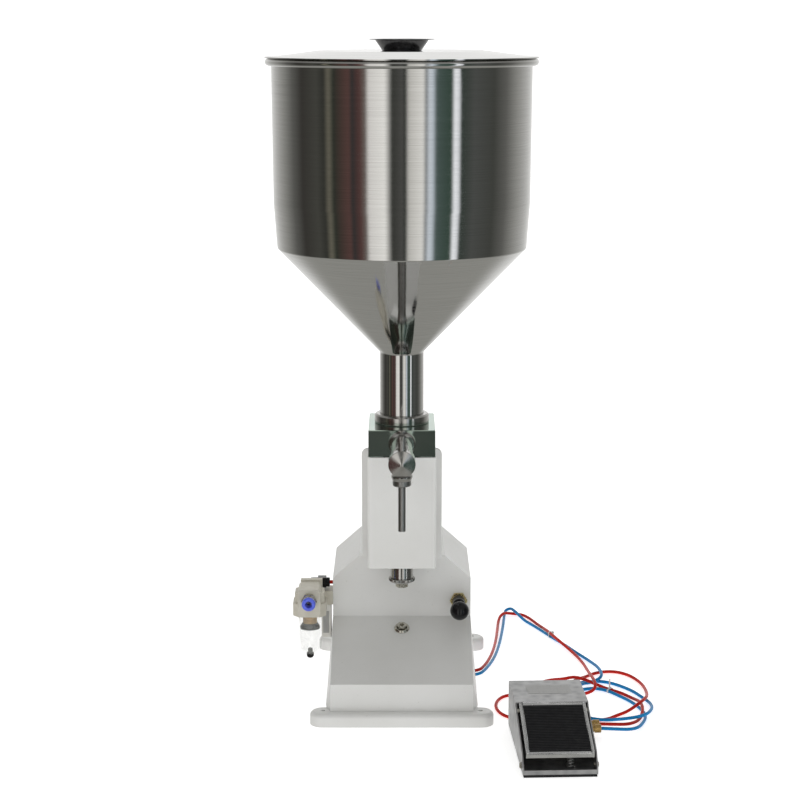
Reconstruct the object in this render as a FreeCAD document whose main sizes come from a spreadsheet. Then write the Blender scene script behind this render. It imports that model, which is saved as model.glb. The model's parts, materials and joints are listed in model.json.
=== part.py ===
"""Tabletop piston liquid filler, with its foot pedal and hoses.

Millimetres, +Z up, +X to the operator's right, the operator stands on the -Y side.
The origin is on the table, straight below the axis of the hopper and the valve block.
"""
import FreeCAD, Part
import math
import os
import re

import Sketcher
from FreeCAD import Placement, Rotation, Vector

# ---------------------------------------------------------------- driving dimensions

SIZES = {
    # base casting with four bolt lugs
    "base_half_width": 91, "base_thick": 16, "base_edge_radius": 5,
    "lug_radius": 15.6, "bolt_across": 93.5, "bolt_front": -104, "bolt_back": 186,
    "bolt_hole_radius": 2.75,
    # housing
    "housing_wall": 4, "housing_front": -108, "housing_back": 150,
    "side_half_width": 84.75, "skirt_top": 49.4, "panel_front": 6.5, "waist": 99,
    "eave": 147.5, "roof": 176, "roof_half_width": 52.5,
    "window_half_width": 60, "window_low": 42, "window_high": 128, "plate_lap": 9,
    "cover_plate": 1.5,
    # column and cylinder cover
    "column_half_width": 48.7, "column_front": -3, "column_back": 58, "column_wall": 5,
    "block_low": 312.6, "cover_half_width": 41, "cover_front": -55, "cover_sheet": 2,
    # valve block
    "block_half_width": 39.7, "block_half_depth": 53, "block_high": 345,
    "nozzle_axis": 329, "gallery_radius": 7, "chamber_radius": 11, "chamber_floor": 316,
    "seat_radius": 7.5, "seat_low": 341, "ball_radius": 9,
    # hopper and lid
    "neck_radius": 26.3, "collar_radius": 32.8, "collar_high": 356.3, "cone_low": 431,
    "cone_high": 557, "cone_radius": 147.7, "wall_low": 610, "wall_low_radius": 151.4,
    "wall_high_radius": 152.8, "hopper_sheet": 1.2, "bead_radius": 4.4,
    "rim_radius": 160, "rim_high": 778, "lid_flat_radius": 99, "lid_flat": 786.5,
    "total_height": 800, "lid_sheet": 1,
    # dosing and air cylinders, which share one axis
    "cylinder_back": -28, "bore_radius": 20, "tube_radius": 23,
    "piston_low": 298.6, "piston_high": 311.6, "head_half_width": 23, "head_thick": 10,
    "upper_head": 246, "lower_head": 180, "air_piston_low": 233, "air_piston_high": 245,
    "rod_radius": 6, "tail_radius": 4, "tail_low": 146.5, "tie_rod_across": 18.5,
    "tie_rod_radius": 2.5, "play": 0.05,
    "sleeve_low": 153, "sleeve_high": 179.5, "sleeve_radius": 13.6, "sleeve_flange": 15.9,
    # nozzle
    "nozzle_flange": 16, "nozzle_arm": 12.5, "nozzle_head": 15.5, "nozzle_reach": 103.5,
    "nozzle_bore": 6, "poppet_radius": 8.8, "spout_radius": 4.3, "spout_low": 249.5,
    "spout_high": 300.5, "spout_shank": 4.1, "spout_bore": 3.3,
    "collar_nut_low": 302.5, "collar_nut_high": 309,
    # push-pull hand valve
    "valve_across": 70, "valve_up": 119, "knob_radius": 11.5, "knob_front": -38,
    # air filter and pilot valve on the left wall
    "filter_across": -112, "filter_depth": -20, "filter_low": 111, "filter_step": 127.3,
    "filter_high": 139.5, "port_half_width": 13.8, "port_high": 145.1, "port_axis": 132.1, "bowl_radius": 15.5, "bowl_low": 61,
    "inlet_radius": 4,
    # foot pedal
    "pedal_half_width": 42, "pedal_length": 164, "pedal_high": 56, "pedal_sheet": 1.5,
    "pedal_cover_length": 76, "sole_thick": 2.5, "pivot_back": -80, "pivot_up": 47,
    "tread_half_width": 38, "tread_length": 84, "spring_across": 13, "spring_back": -146,
    # hoses
    "hose_radius": 2, "red_exit": 28, "blue_exit": 13, "exit_up": 21,
}

PEDAL_PLACE = Placement(Vector(168, -111, 0), Rotation(Vector(0, 0, 1), 2.5))
TREAD_SLOPE = 19.2
SCREW_HOLE = 2.05
COVER_SCREWS = [(f"{side}(window_half_width + plate_lap - 5)", height) for side in ("-", "")
                for height in ("window_low - plate_lap + 5", "window_high + plate_lap - 5")]
ALONG_Y = Rotation(Vector(1, 0, 0), 90)     # local +Z turned to point at -Y
ALONG_X = Rotation(Vector(0, 1, 0), 90)     # local +Z turned to point at +X

# Routes of the two hoses, from the right wall to the fittings on the pedal.
RED_ROUTE = [
    (91, 28, 21), (97.5, 33, 20.4), (102.5, 47, 19.4), (109, 73, 17.3), (116, 112, 14.2),
    (121.5, 153, 11), (126, 196, 7.8), (129.5, 240, 4.5), (132, 272, 2.6), (133.5, 291, 2.5),
    (136.5, 307, 5.5), (142.5, 318, 7.5), (149, 327, 4.5), (159, 331, 2.3), (169, 327, 2.3),
    (176.5, 313.5, 2.3), (182, 298, 2.3), (187, 282, 2.3), (195, 252.5, 4.8), (200, 227, 7.8),
    (209, 194.5, 7.6), (219.5, 171, 4.5), (229, 141.5, 3), (234.5, 106, 4.5), (236, 81, 6.3),
    (237, 58, 9), (238, 38, 11.5), (239.3, 20, 13.1), (240, 4, 12.8), (239, -6.5, 9.5),
    (231.5, -11.5, 6), (221, -10, 3.2), (204, -13, 2.3), (184, -20, 2.3), (154, -14, 2.3),
    (131, -8, 2.3), (117, -27, 2.3), (113, -57, 2.3), (122, -86, 2.3), (145, -100, 2.3),
    (180, -101, 2.3), (214, -101, 2.3), (243, -99, 2.3), (257.5, -83.5, 2.3), (271.5, -74.5, 4),
    (285, -66.5, 10.6), (295, -51, 12), (302, -22, 6.5), (303, 17.5, 3), (298.5, 44, 2.3),
    (288.5, 67, 2.3), (273.5, 80, 2.3), (257.5, 79.5, 2.3), (244, 72, 2.3), (232.5, 58, 2.3),
    (221.5, 38.5, 6.5), (208.5, 12, 9.6), (196, 0.5, 7.5), (182, 3, 4.5), (172, 14, 2.8),
    (171, 29, 2.5), (180, 39.5, 3.5), (191, 40.5, 5), (203, 34, 8), (216, 30, 12.5),
    (229, 21.5, 11.8), (243, 15, 7.1), (257, 9.5, 3.1), (271.5, -1.5, 2.3), (283.5, -21.5, 2.3),
    (290.5, -47, 6.9), (290.5, -73, 6.9), (284, -101, 3.4), (268, -129, 8), (250, -139, 11.5),
    (231.5, -139.8, 12.4),
]
BLUE_ROUTE = [
    (91, 13, 21), (97.5, 18.5, 20.3), (103, 33, 19), (109, 57, 16.5), (116, 90, 13),
    (122.5, 129, 9.2), (128, 170, 6.2), (133, 213, 3.8), (137, 252, 2.3), (140, 281, 2.3),
    (142, 306, 2.3), (144.3, 330, 2.3), (146, 342.5, 4), (153.5, 343, 6.8), (157.5, 330.5, 7.5),
    (163.5, 313.5, 5.8), (170, 300, 2.6), (178, 283, 2.3), (186.5, 264, 2.3), (195.5, 239, 2.9),
    (205, 215.5, 2.9), (217.5, 191, 2.3), (228.5, 160.5, 2.3), (237.5, 139.5, 2.3),
    (246, 113, 3.5), (251, 88.5, 6.1), (253.5, 62.5, 7.7), (252, 45.5, 7.4), (245.5, 35.5, 6.1),
    (236, 32.5, 3.4), (224.5, 19.5, 7), (214, -10, 9.6), (205, -38, 7), (203, -66, 7),
    (208, -90, 7), (222, -106, 7), (240, -112.5, 7), (255.5, -110.5, 7.2), (269.5, -108.5, 7.9),
    (282, -106, 9.2), (292.5, -96.5, 9), (300.5, -73, 6), (303.5, -55, 4), (302.5, -35.5, 2.3),
    (297, -21.5, 2.3), (287.5, 4, 2.3), (275, 22.5, 2.3), (263.5, 35, 2.3), (253, 41, 2.3),
    (242.5, 42, 2.3), (231.5, 38.5, 2.3), (219, 34.5, 2.3), (205, 26.5, 2.3), (201, 14.5, 2.3),
    (210, 6, 2.3), (224, 9.5, 2.3), (234, 14.5, 2.3), (244, 13.5, 2.6), (256, 3.8, 3.1),
    (268, -12.5, 2.3), (278.5, -30, 2.3), (286, -49, 2.3), (291.5, -69.5, 2.3), (292, -90.5, 2.3),
    (284, -117.5, 4), (277, -135, 6), (266, -148, 8.5), (250, -154.6, 11.5), (232, -154.8, 12.4),
]

# ---------------------------------------------------------------- document helpers

doc = FreeCAD.newDocument("PistonFiller")
sheet = doc.addObject("Spreadsheet::Sheet", "Sizes")
ALIAS = re.compile(r"\b(" + "|".join(sorted(SIZES, key=len, reverse=True)) + r")\b")
NODES = {}


def fill_sheet():
    """One row of the sheet for each driving dimension."""
    for row, (alias, number) in enumerate(SIZES.items(), 1):
        sheet.set(f"A{row}", alias)
        sheet.set(f"B{row}", str(number))
        sheet.setAlias(f"B{row}", alias)
    doc.recompute()


def value(formula):
    """The number that a formula in the sheet's aliases gives."""
    if isinstance(formula, (int, float)):
        return float(formula)
    return float(sheet.evalExpression(formula))


def bind(thing, path, formula):
    """Set a property from a formula, and keep it bound when the formula uses the sheet."""
    if isinstance(formula, str):
        thing.setExpression(path, ALIAS.sub(r"Sizes.\1", formula))


def put(thing, at, turn=None):
    """Place an object at a point given by three formulas."""
    thing.Placement = Placement(Vector(*(value(part) for part in at)), turn or Rotation())
    for axis, part in zip("xyz", at):
        bind(thing, f"Placement.Base.{axis}", part)
    return thing


def node(thing):
    """Register a finished sub-part: its Label names its file."""
    NODES[thing.Label] = thing
    return thing


def add_polygon(drawing, points):
    """A closed outline whose corners are held at formulas from the sketch's origin."""
    corners = [Vector(value(x), value(y), 0) for x, y in points]
    first = drawing.GeometryCount
    count = len(corners)
    for index, corner in enumerate(corners):
        drawing.addGeometry(Part.LineSegment(corner, corners[(index + 1) % count]), False)
    for index in range(count):
        following = first + (index + 1) % count
        drawing.addConstraint(Sketcher.Constraint("Coincident", first + index, 2, following, 1))
    for index, (x, y) in enumerate(points):
        for kind, formula in (("DistanceX", x), ("DistanceY", y)):
            held = Sketcher.Constraint(kind, first + index, 1, value(formula))
            bind(drawing, f"Constraints[{drawing.addConstraint(held)}]", formula)


def add_circle(drawing, x, y, radius):
    """A circle with its centre and radius held at formulas."""
    centre = Vector(value(x), value(y), 0)
    index = drawing.addGeometry(Part.Circle(centre, Vector(0, 0, 1), value(radius)), False)
    held = (
        (Sketcher.Constraint("Radius", index, value(radius)), radius),
        (Sketcher.Constraint("DistanceX", index, 3, value(x)), x),
        (Sketcher.Constraint("DistanceY", index, 3, value(y)), y),
    )
    for constraint, formula in held:
        bind(drawing, f"Constraints[{drawing.addConstraint(constraint)}]", formula)


def sketch(body, role, outlines, lift=0):
    """A sketch on one of the body's own planes. An outline of 3 formulas is a circle."""
    drawing = body.newObject("Sketcher::SketchObject", body.Name + "_outline")
    plane = next(item for item in body.Origin.OriginFeatures if item.Role == role)
    drawing.AttachmentSupport = [(plane, "")]
    drawing.MapMode = "FlatFace"
    drawing.AttachmentOffset = Placement(Vector(0, 0, value(lift)), Rotation())
    bind(drawing, "AttachmentOffset.Base.z", lift)
    for outline in outlines:
        if isinstance(outline, tuple):
            add_circle(drawing, *outline)
        else:
            add_polygon(drawing, outline)
    return drawing


def turned(label, outline, at=(0, 0, 0), turn=None):
    """A body turned about its own Z axis from an outline of (radius, height) corners."""
    body = doc.addObject("PartDesign::Body", label)
    drawing = sketch(body, "XZ_Plane", [outline])
    feature = body.newObject("PartDesign::Revolution", label + "_turned")
    feature.Profile = drawing
    feature.ReferenceAxis = (drawing, ["V_Axis"])
    feature.Angle = 360
    return put(body, at, turn)


def ring(label, inner, outer, low, high, at=(0, 0, 0), turn=None):
    """A plain turned ring or tube."""
    return turned(label, [(inner, low), (outer, low), (outer, high), (inner, high)], at, turn)


def padded(label, role, outlines, start, length, at=(0, 0, 0), turn=None):
    """A body padded along its plane's normal, from start for length."""
    body = doc.addObject("PartDesign::Body", label)
    feature = body.newObject("PartDesign::Pad", label + "_pad")
    feature.Profile = sketch(body, role, outlines, start)
    feature.Length = value(length)
    bind(feature, "Length", length)
    return put(body, at, turn)


def rectangle(x_low, y_low, x_high, y_high):
    """The corners of an upright rectangle."""
    return [(x_low, y_low), (x_high, y_low), (x_high, y_high), (x_low, y_high)]


def block(label, low, high):
    """A Part::Box between two corners given by formulas."""
    box = doc.addObject("Part::Box", label)
    for name, start, end in zip(("Length", "Width", "Height"), low, high):
        formula = f"({end}) - ({start})"
        setattr(box, name, value(formula))
        bind(box, name, formula)
    return put(box, low)


def rod(label, radius, length, at, turn=None):
    """A Part::Cylinder."""
    cylinder = doc.addObject("Part::Cylinder", label)
    for name, formula in (("Radius", radius), ("Height", length)):
        setattr(cylinder, name, value(formula))
        bind(cylinder, name, formula)
    return put(cylinder, at, turn)


def cut(label, base, *tools):
    """The base with every tool taken away, which has to remove something."""
    doc.recompute()
    result = base
    for index, tool in enumerate(tools, 1):
        last = index == len(tools)
        step = doc.addObject("Part::Cut", label if last else f"{label}_cut_{index}")
        step.Base = result
        step.Tool = tool
        doc.recompute()
        if step.Shape.Volume > result.Shape.Volume - 0.01:
            raise RuntimeError(f"{tool.Label} cuts nothing from {label}")
        result = step
    return result


def fuse(label, *pieces):
    """One solid from pieces that touch or overlap."""
    joined = doc.addObject("Part::MultiFuse", label)
    joined.Shapes = list(pieces)
    joined.Refine = True
    doc.recompute()
    return joined


def group(label, *pieces):
    """Separate solids that share one node."""
    together = doc.addObject("Part::Compound", label)
    together.Links = list(pieces)
    doc.recompute()
    return together


def copies(label, pattern, placements):
    """The same piece at several places, as separate solids of one node."""
    doc.recompute()
    together = doc.addObject("Part::Feature", label)
    made = []
    for placement in placements:
        piece = pattern.Shape.copy()
        piece.Placement = placement.multiply(pattern.Shape.Placement)
        made.append(piece)
    together.Shape = Part.makeCompound(made)
    return together


def rounded(body, radius, chosen):
    """Round the body's edges that the test chooses."""
    doc.recompute()
    tip = body.Tip
    edges = [f"Edge{number}" for number, edge in enumerate(tip.Shape.Edges, 1) if chosen(edge)]
    feature = body.newObject("PartDesign::Fillet", body.Name + "_round")
    feature.Base = (tip, edges)
    feature.Radius = value(radius)
    bind(feature, "Radius", radius)
    body.Tip = feature
    return body


def bevelled(body, size, chosen):
    """Chamfer the body's edges that the test chooses."""
    doc.recompute()
    tip = body.Tip
    edges = [f"Edge{number}" for number, edge in enumerate(tip.Shape.Edges, 1) if chosen(edge)]
    feature = body.newObject("PartDesign::Chamfer", body.Name + "_bevel")
    feature.Base = (tip, edges)
    feature.Size = value(size)
    body.Tip = feature
    return body


def is_upright(edge):
    """True for a straight edge along Z."""
    box = edge.BoundBox
    return box.ZLength > 1 and box.XLength < 1e-3 and box.YLength < 1e-3


def is_circle_at(radius, height):
    """A test for a circular edge of a turned part."""
    def chosen(edge):
        box = edge.BoundBox
        flat = box.ZLength < 1e-3 and abs(box.ZMin - value(height)) < 1e-2
        return flat and abs(box.XMax - value(radius)) < 1e-2
    return chosen


def hexagon(across_flats):
    """The corners of a hexagon, as plain numbers."""
    corner = value(across_flats) / math.sqrt(3)
    angles = [math.radians(60 * index) for index in range(6)]
    return [(corner * math.cos(angle), corner * math.sin(angle)) for angle in angles]


def spring(label, radius, wire, length, turns, at, turn=None):
    """A compression spring: a round wire swept along a helix."""
    rise = length - wire
    path = Part.Wire(Part.makeHelix(rise / turns, rise, radius))
    path.translate(Vector(0, 0, wire / 2))
    circle = Part.Circle(Vector(radius, 0, wire / 2), Vector(0, 1, 0), wire / 2)
    coil = path.makePipeShell([Part.Wire(circle.toShape())], True, True)
    feature = doc.addObject("Part::Feature", label)
    feature.Shape = coil
    return put(feature, at, turn)


# ---------------------------------------------------------------- base and housing

def base_plate():
    """Thick casting: a plate with a bar across each end, whose round ends are the lugs."""
    front = ("bolt_front - lug_radius", "bolt_front + lug_radius")
    back = ("bolt_back - lug_radius", "bolt_back + lug_radius")
    pieces = [block("base_middle", ("-base_half_width", front[0], 0),
                    ("base_half_width", back[1], "base_thick"))]
    for name, (low, high) in (("front", front), ("back", back)):
        pieces.append(block(f"base_{name}_bar", ("-bolt_across", low, 0),
                            ("bolt_across", high, "base_thick")))
        for side in ("-bolt_across", "bolt_across"):
            pieces.append(rod(f"base_{name}_lug", "lug_radius", "base_thick",
                              (side, f"bolt_{name}", 0)))
    plan = fuse("base_plan", *pieces)
    top = value("base_thick")
    edge = doc.addObject("Part::Fillet", "base_rounded")
    edge.Base = plan
    radius = value("base_edge_radius")
    edge.Edges = [(number, radius, radius) for number, item in enumerate(plan.Shape.Edges, 1)
                  if item.BoundBox.ZMin > top - 0.01]
    holes = [rod("base_hole", "bolt_hole_radius", "base_thick + 2", (side, end, -1))
             for side in ("-bolt_across", "bolt_across") for end in ("bolt_front", "bolt_back")]
    node(cut("base_plate", edge, *holes))


def facet_cutter(label, corners, inset):
    """A slab outside the plane through three corners, moved inwards by inset, below the waist."""
    first, second, third = (Vector(*(value(part) for part in corner)) for corner in corners)
    outward = (second - first).cross(third - first).normalize()
    if outward.x * first.x < 0:
        outward = -outward
    along = (second - first).normalize()
    across = outward.cross(along)
    centre = first - outward * inset
    reach = 200
    square = Part.makePolygon([centre + along * u * reach + across * v * reach
                               for u, v in ((-1, -1), (1, -1), (1, 1), (-1, 1), (-1, -1))])
    slab = doc.addObject("Part::Feature", label)
    below = Part.makeBox(400, 400, 100 + value("waist"), Vector(-200, -200, -100))
    slab.Shape = Part.Face(square).extrude(outward * 40).common(below)
    return slab


def housing_form(label, inset, bottom):
    """The housing's outer form, or the same form inset by its wall."""
    low_half = f"base_half_width - {inset}"
    half = f"side_half_width - {inset}"
    eave = f"eave - 0.4 * {inset}"
    roof_half = f"roof_half_width - 0.4 * {inset}"
    roof = f"roof - {inset}"
    right = [(low_half, bottom), (half, "waist"), (half, eave), (roof_half, roof)]
    left = [(f"-({x})", z) for x, z in reversed(right)]
    length = f"housing_back - housing_front - 2 * {inset}"
    form = padded(label + "_walls", "XZ_Plane", [right + left], f"{inset} - housing_back", length)
    front = f"housing_front + {inset}"
    panel = f"panel_front + {inset}"
    drop = f"0.66 * {inset}"
    above = [("housing_front - 20", f"skirt_top - {drop}"), (front, f"skirt_top - {drop}"),
             (panel, f"waist - {drop}"), (panel, "roof + 20"), ("housing_front - 20", "roof + 20")]
    tools = [padded(label + "_slope", "YZ_Plane", [above], -120, 240)]
    thickness = value(inset)
    for name, sign in (("left", "-"), ("right", "")):
        edge = f"{sign}side_half_width"
        wide = f"{sign}base_half_width"
        foot = (wide, "housing_front + 22", "base_thick")
        skirt = (edge, "housing_front", "base_thick")
        shoulder = (edge, "housing_front", "skirt_top")
        crease = (edge, "panel_front", "waist")
        tools.append(facet_cutter(f"{label}_{name}_corner", (skirt, shoulder, foot), thickness))
        tools.append(facet_cutter(f"{label}_{name}_facet", (shoulder, crease, foot), thickness))
    return cut(label, form, *tools)


def body_housing():
    """Hollow casting with a service window at the back, open over the base plate."""
    outside = housing_form("housing_outside", "0", "base_thick")
    inside = housing_form("housing_inside", "housing_wall", "base_thick - 5")
    window = block("housing_window", ("-window_half_width", "housing_back - 10", "window_low"),
                   ("window_half_width", "housing_back + 5", "window_high"))
    neck = rod("hand_valve_hole", 6.1, 20, ("valve_across", "panel_front + 15", "valve_up"), ALONG_Y)
    exits = [rod(f"{colour}_hole", 3.25, 20, (80, f"{colour}_exit", "exit_up"), ALONG_X)
             for colour in ("red", "blue")]
    screws = [rod("cover_screw_hole", SCREW_HOLE, 7, (x, "housing_back + 1", z), ALONG_Y)
              for x, z in COVER_SCREWS]
    node(cut("body_housing", outside, inside, window, neck, *exits, *screws))


def rear_cover():
    """Sheet plate screwed over the service window."""
    lap = "plate_lap"
    plate = rectangle(f"-window_half_width - {lap}", f"window_low - {lap}",
                      f"window_half_width + {lap}", f"window_high + {lap}")
    holes = [(x, z, SCREW_HOLE) for x, z in COVER_SCREWS]
    cover = padded("rear_cover", "XZ_Plane", [plate, *holes], "-housing_back - cover_plate",
                   "cover_plate")
    end = value(f"window_half_width + {lap}")
    node(rounded(cover, 5, lambda edge: abs(edge.CenterOfMass.x) > end - 0.01
                 and edge.BoundBox.YLength > 1))


def column():
    """Front plate with rounded shoulders and a hollow post behind it, on the housing's roof."""
    back = "column_front + column_wall"
    face = rectangle("-column_half_width", "roof", "column_half_width", "block_low")
    plate = padded("column_plate", "XZ_Plane", [face], f"-({back})", "column_wall")
    top = value("block_low")
    rounded(plate, 8, lambda edge: edge.BoundBox.YLength > 1 and edge.BoundBox.ZMin > top - 0.01)
    outer = rectangle("-block_half_width", back, "block_half_width", "column_back")
    inner = rectangle("column_wall - block_half_width", f"{back} + 5",
                      "block_half_width - column_wall", "column_back - column_wall")
    post = padded("column_post", "XY_Plane", [outer, inner], "roof", "block_low - roof")
    node(fuse("column", plate, post))


def cylinder_cover():
    """Bent sheet over the cylinders: a front and two sides, open below."""
    half, face, sheet_thick = "cover_half_width", "cover_front", "cover_sheet"
    outline = [(f"-{half}", "column_front"), (f"-{half}", face), (half, face),
               (half, "column_front"), (f"{half} - {sheet_thick}", "column_front"),
               (f"{half} - {sheet_thick}", f"{face} + {sheet_thick}"),
               (f"{sheet_thick} - {half}", f"{face} + {sheet_thick}"),
               (f"{sheet_thick} - {half}", "column_front")]
    cover = padded("cylinder_cover", "XY_Plane", [outline], "roof + 0.4", "block_low - roof - 0.4")
    inner_front = value("cover_front + cover_sheet")
    rounded(cover, 2, lambda e: is_upright(e) and abs(e.BoundBox.YMin - inner_front) < 0.01)
    outer_front = value("cover_front")
    node(rounded(cover, 4, lambda e: is_upright(e) and abs(e.BoundBox.YMin - outer_front) < 0.01))


# ---------------------------------------------------------------- hopper, lid and valve block

def valve_block():
    """Solid block: inlet seat and ball chamber, gallery to the nozzle, port to the cylinder."""
    plan = rectangle("-block_half_width", "-block_half_depth", "block_half_width", "block_half_depth")
    solid = padded("block_solid", "XY_Plane", [plan], "block_low", "block_high - block_low")
    bevelled(solid, 0.8, lambda edge: True)
    passages = [
        rod("seat_bore", "seat_radius", 30, (0, 0, "seat_low - 5")),
        rod("ball_chamber", "chamber_radius", "seat_low - chamber_floor", (0, 0, "chamber_floor")),
        rod("gallery", "gallery_radius", "block_half_depth + 5", (0, 0, "nozzle_axis"), ALONG_Y),
        rod("cylinder_port", 8, "nozzle_axis - block_low + 5", (0, "cylinder_back", "block_low - 5")),
    ]
    node(cut("valve_block", solid, *passages))


def hopper_collar():
    """Bevelled ring that clamps the hopper's neck to the block."""
    body = ring("hopper_collar", "neck_radius", "collar_radius", "block_high", "collar_high")
    bevelled(body, 2, is_circle_at("collar_radius", "collar_high"))
    node(bevelled(body, 0.8, is_circle_at("collar_radius", "block_high")))


def hopper():
    """Spun sheet funnel with a straight neck and a wired rim."""
    outline = [(0, "block_high"), ("neck_radius", "block_high"), ("neck_radius", "cone_low"),
               ("cone_radius", "cone_high"), ("wall_low_radius", "wall_low"),
               ("wall_high_radius", "rim_high - bead_radius"), (0, "rim_high - bead_radius")]
    form = turned("hopper_form", outline)
    rounded(form, 3, is_circle_at("neck_radius", "cone_low"))
    rounded(form, 2.4, is_circle_at("cone_radius", "cone_high"))
    doc.recompute()
    tip = form.Tip
    ends = [f"Face{number}" for number, face in enumerate(tip.Shape.Faces, 1)
            if face.BoundBox.ZLength < 1e-3]
    shell = form.newObject("PartDesign::Thickness", "hopper_shell")
    shell.Base = (tip, ends)
    shell.Value = value("hopper_sheet")
    bind(shell, "Value", "hopper_sheet")
    shell.Reversed = True
    form.Tip = shell
    bead = doc.addObject("Part::Torus", "hopper_bead")
    bead.Radius1 = value("rim_radius - bead_radius")
    bind(bead, "Radius1", "rim_radius - bead_radius")
    bead.Radius2 = value("bead_radius")
    bind(bead, "Radius2", "bead_radius")
    put(bead, (0, 0, "rim_high - bead_radius"))
    mouth = rod("hopper_mouth", "wall_high_radius - hopper_sheet", 20,
                (0, 0, "rim_high - 3 * bead_radius"))
    rim = cut("hopper_rim", bead, mouth)
    node(fuse("hopper", form, rim))


def lid():
    """Pressed lid: flat crown, sloping shoulder, a land on the rim and a locating lip."""
    land = "rim_high + 0.3"
    thick = "lid_sheet"
    lip = "wall_high_radius - hopper_sheet - 2"
    outline = [(5, "lid_flat"), ("lid_flat_radius", "lid_flat"), (lip, f"{land} + {thick} + 0.6"),
               ("rim_radius + 0.5", f"{land} + {thick} + 0.4"), ("rim_radius + 0.5", land),
               (lip, land), (lip, f"{land} - 9"), (f"{lip} - {thick}", f"{land} - 9"),
               (f"{lip} - {thick}", land), ("lid_flat_radius", f"lid_flat - {thick}"),
               (5, f"lid_flat - {thick}")]
    node(turned("lid", outline))


def lid_knob():
    """Flared dish with a flat flange, held by a screw through its floor."""
    base = "lid_flat"
    outline = [(4, base), (23, base), (31.5, "total_height - 1.4"), (38.7, "total_height - 1"),
               (38.7, "total_height"), (31, "total_height - 0.4"), (22, f"{base} + 1.2"),
               (4, f"{base} + 1.2")]
    node(turned("lid_knob", outline))
    screw = [(0, "lid_flat - 6"), (4, "lid_flat - 6"), (4, "lid_flat + 1.2"),
             (7, "lid_flat + 1.2"), (6.2, "lid_flat + 4.4"), (3, "lid_flat + 5.6"),
             (0, "lid_flat + 5.6")]
    node(turned("lid_knob_screw", screw))


def inlet_ball():
    """Ball that closes the inlet seat on the delivery stroke, and the light spring under it."""
    ball = doc.addObject("Part::Sphere", "inlet_ball")
    ball.Radius = value("ball_radius")
    bind(ball, "Radius", "ball_radius")
    ball_centre = "seat_low - 5.3"
    node(put(ball, (0, 0, ball_centre)))
    gap = value(f"{ball_centre} - ball_radius - chamber_floor") - 0.4
    node(spring("inlet_spring", 4.6, 1, gap, 5, (0, 0, "chamber_floor + 0.3")))


# ---------------------------------------------------------------- cylinders and piston

def cylinder_tubes():
    """The stainless dosing cylinder under the block and the air cylinder under it."""
    axis = (0, "cylinder_back", 0)
    node(ring("dosing_cylinder", "bore_radius", "tube_radius", "upper_head + head_thick",
              "block_low", axis))
    node(ring("air_cylinder_barrel", "bore_radius", "tube_radius", "lower_head + head_thick",
              "upper_head", axis))


def cylinder_heads():
    """Square heads with the rod guide and four tie rod holes."""
    heads = []
    for name, low, guide in (("upper", "upper_head", "rod_radius + play"),
                             ("lower", "lower_head", "tail_radius + play")):
        half = "head_half_width"
        outlines = [rectangle(f"-{half}", f"-{half}", half, half), (0, 0, guide)]
        for x in ("-tie_rod_across", "tie_rod_across"):
            outlines += [(x, y, "tie_rod_radius") for y in ("-tie_rod_across", "tie_rod_across")]
        heads.append(padded(f"{name}_cylinder_head", "XY_Plane", outlines, low, "head_thick",
                            (0, "cylinder_back", 0)))
    node(group("cylinder_heads", *heads))


def tie_rods():
    """Four rods from the block through both heads, each with its nut."""
    stem = rod("tie_rod_stem", "tie_rod_radius", "block_low - lower_head + 3.5",
               (0, 0, "lower_head - 3.5"))
    nut = padded("tie_rod_nut_hex", "XY_Plane", [hexagon(8), (0, 0, "tie_rod_radius")],
                 "lower_head - 3.5", 3.5)
    pair = group("tie_rod_pair", stem, nut)
    across = value("tie_rod_across")
    back = value("cylinder_back")
    places = [Placement(Vector(x, back + y, 0), Rotation())
              for x in (-across, across) for y in (-across, across)]
    node(copies("tie_rods", pair, places))


def piston_group():
    """Dosing piston, seals, rod and air piston, which move as one."""
    axis = (0, "cylinder_back", 0)
    wall = "bore_radius - play"
    groove = "bore_radius - 1.8"
    low, high = "piston_low", "piston_high"
    outline = [(0, f"{low} + 8"), ("rod_radius", f"{low} + 8"), ("rod_radius", low), (wall, low),
               (wall, f"{low} + 2.5"), (groove, f"{low} + 2.5"), (groove, f"{low} + 4.5"),
               (wall, f"{low} + 4.5"), (wall, f"{high} - 4.5"), (groove, f"{high} - 4.5"),
               (groove, f"{high} - 2.5"), (wall, f"{high} - 2.5"), (wall, high), (0, high)]
    node(turned("dosing_piston", outline, axis))
    low, high = "air_piston_low", "air_piston_high"
    outline = [("tail_radius", low), (wall, low), (wall, f"{low} + 5"), (groove, f"{low} + 5"),
               (groove, f"{low} + 7"), (wall, f"{low} + 7"), (wall, high), ("tail_radius", high)]
    node(turned("air_piston", outline, axis))
    grooves = ("piston_low + 2.5", "piston_high - 4.5", "air_piston_low + 5")
    rings = [ring(f"piston_seal_{number}", groove, "bore_radius - 0.02", start, f"{start} + 2", axis)
             for number, start in enumerate(grooves, 1)]
    node(group("piston_seals", *rings))
    shaft = [(0, "tail_low"), ("tail_radius", "tail_low"), ("tail_radius", "air_piston_high"),
             ("rod_radius", "air_piston_high"), ("rod_radius", "piston_low + 8"),
             (0, "piston_low + 8")]
    node(turned("piston_rod", shaft, axis))


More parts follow.
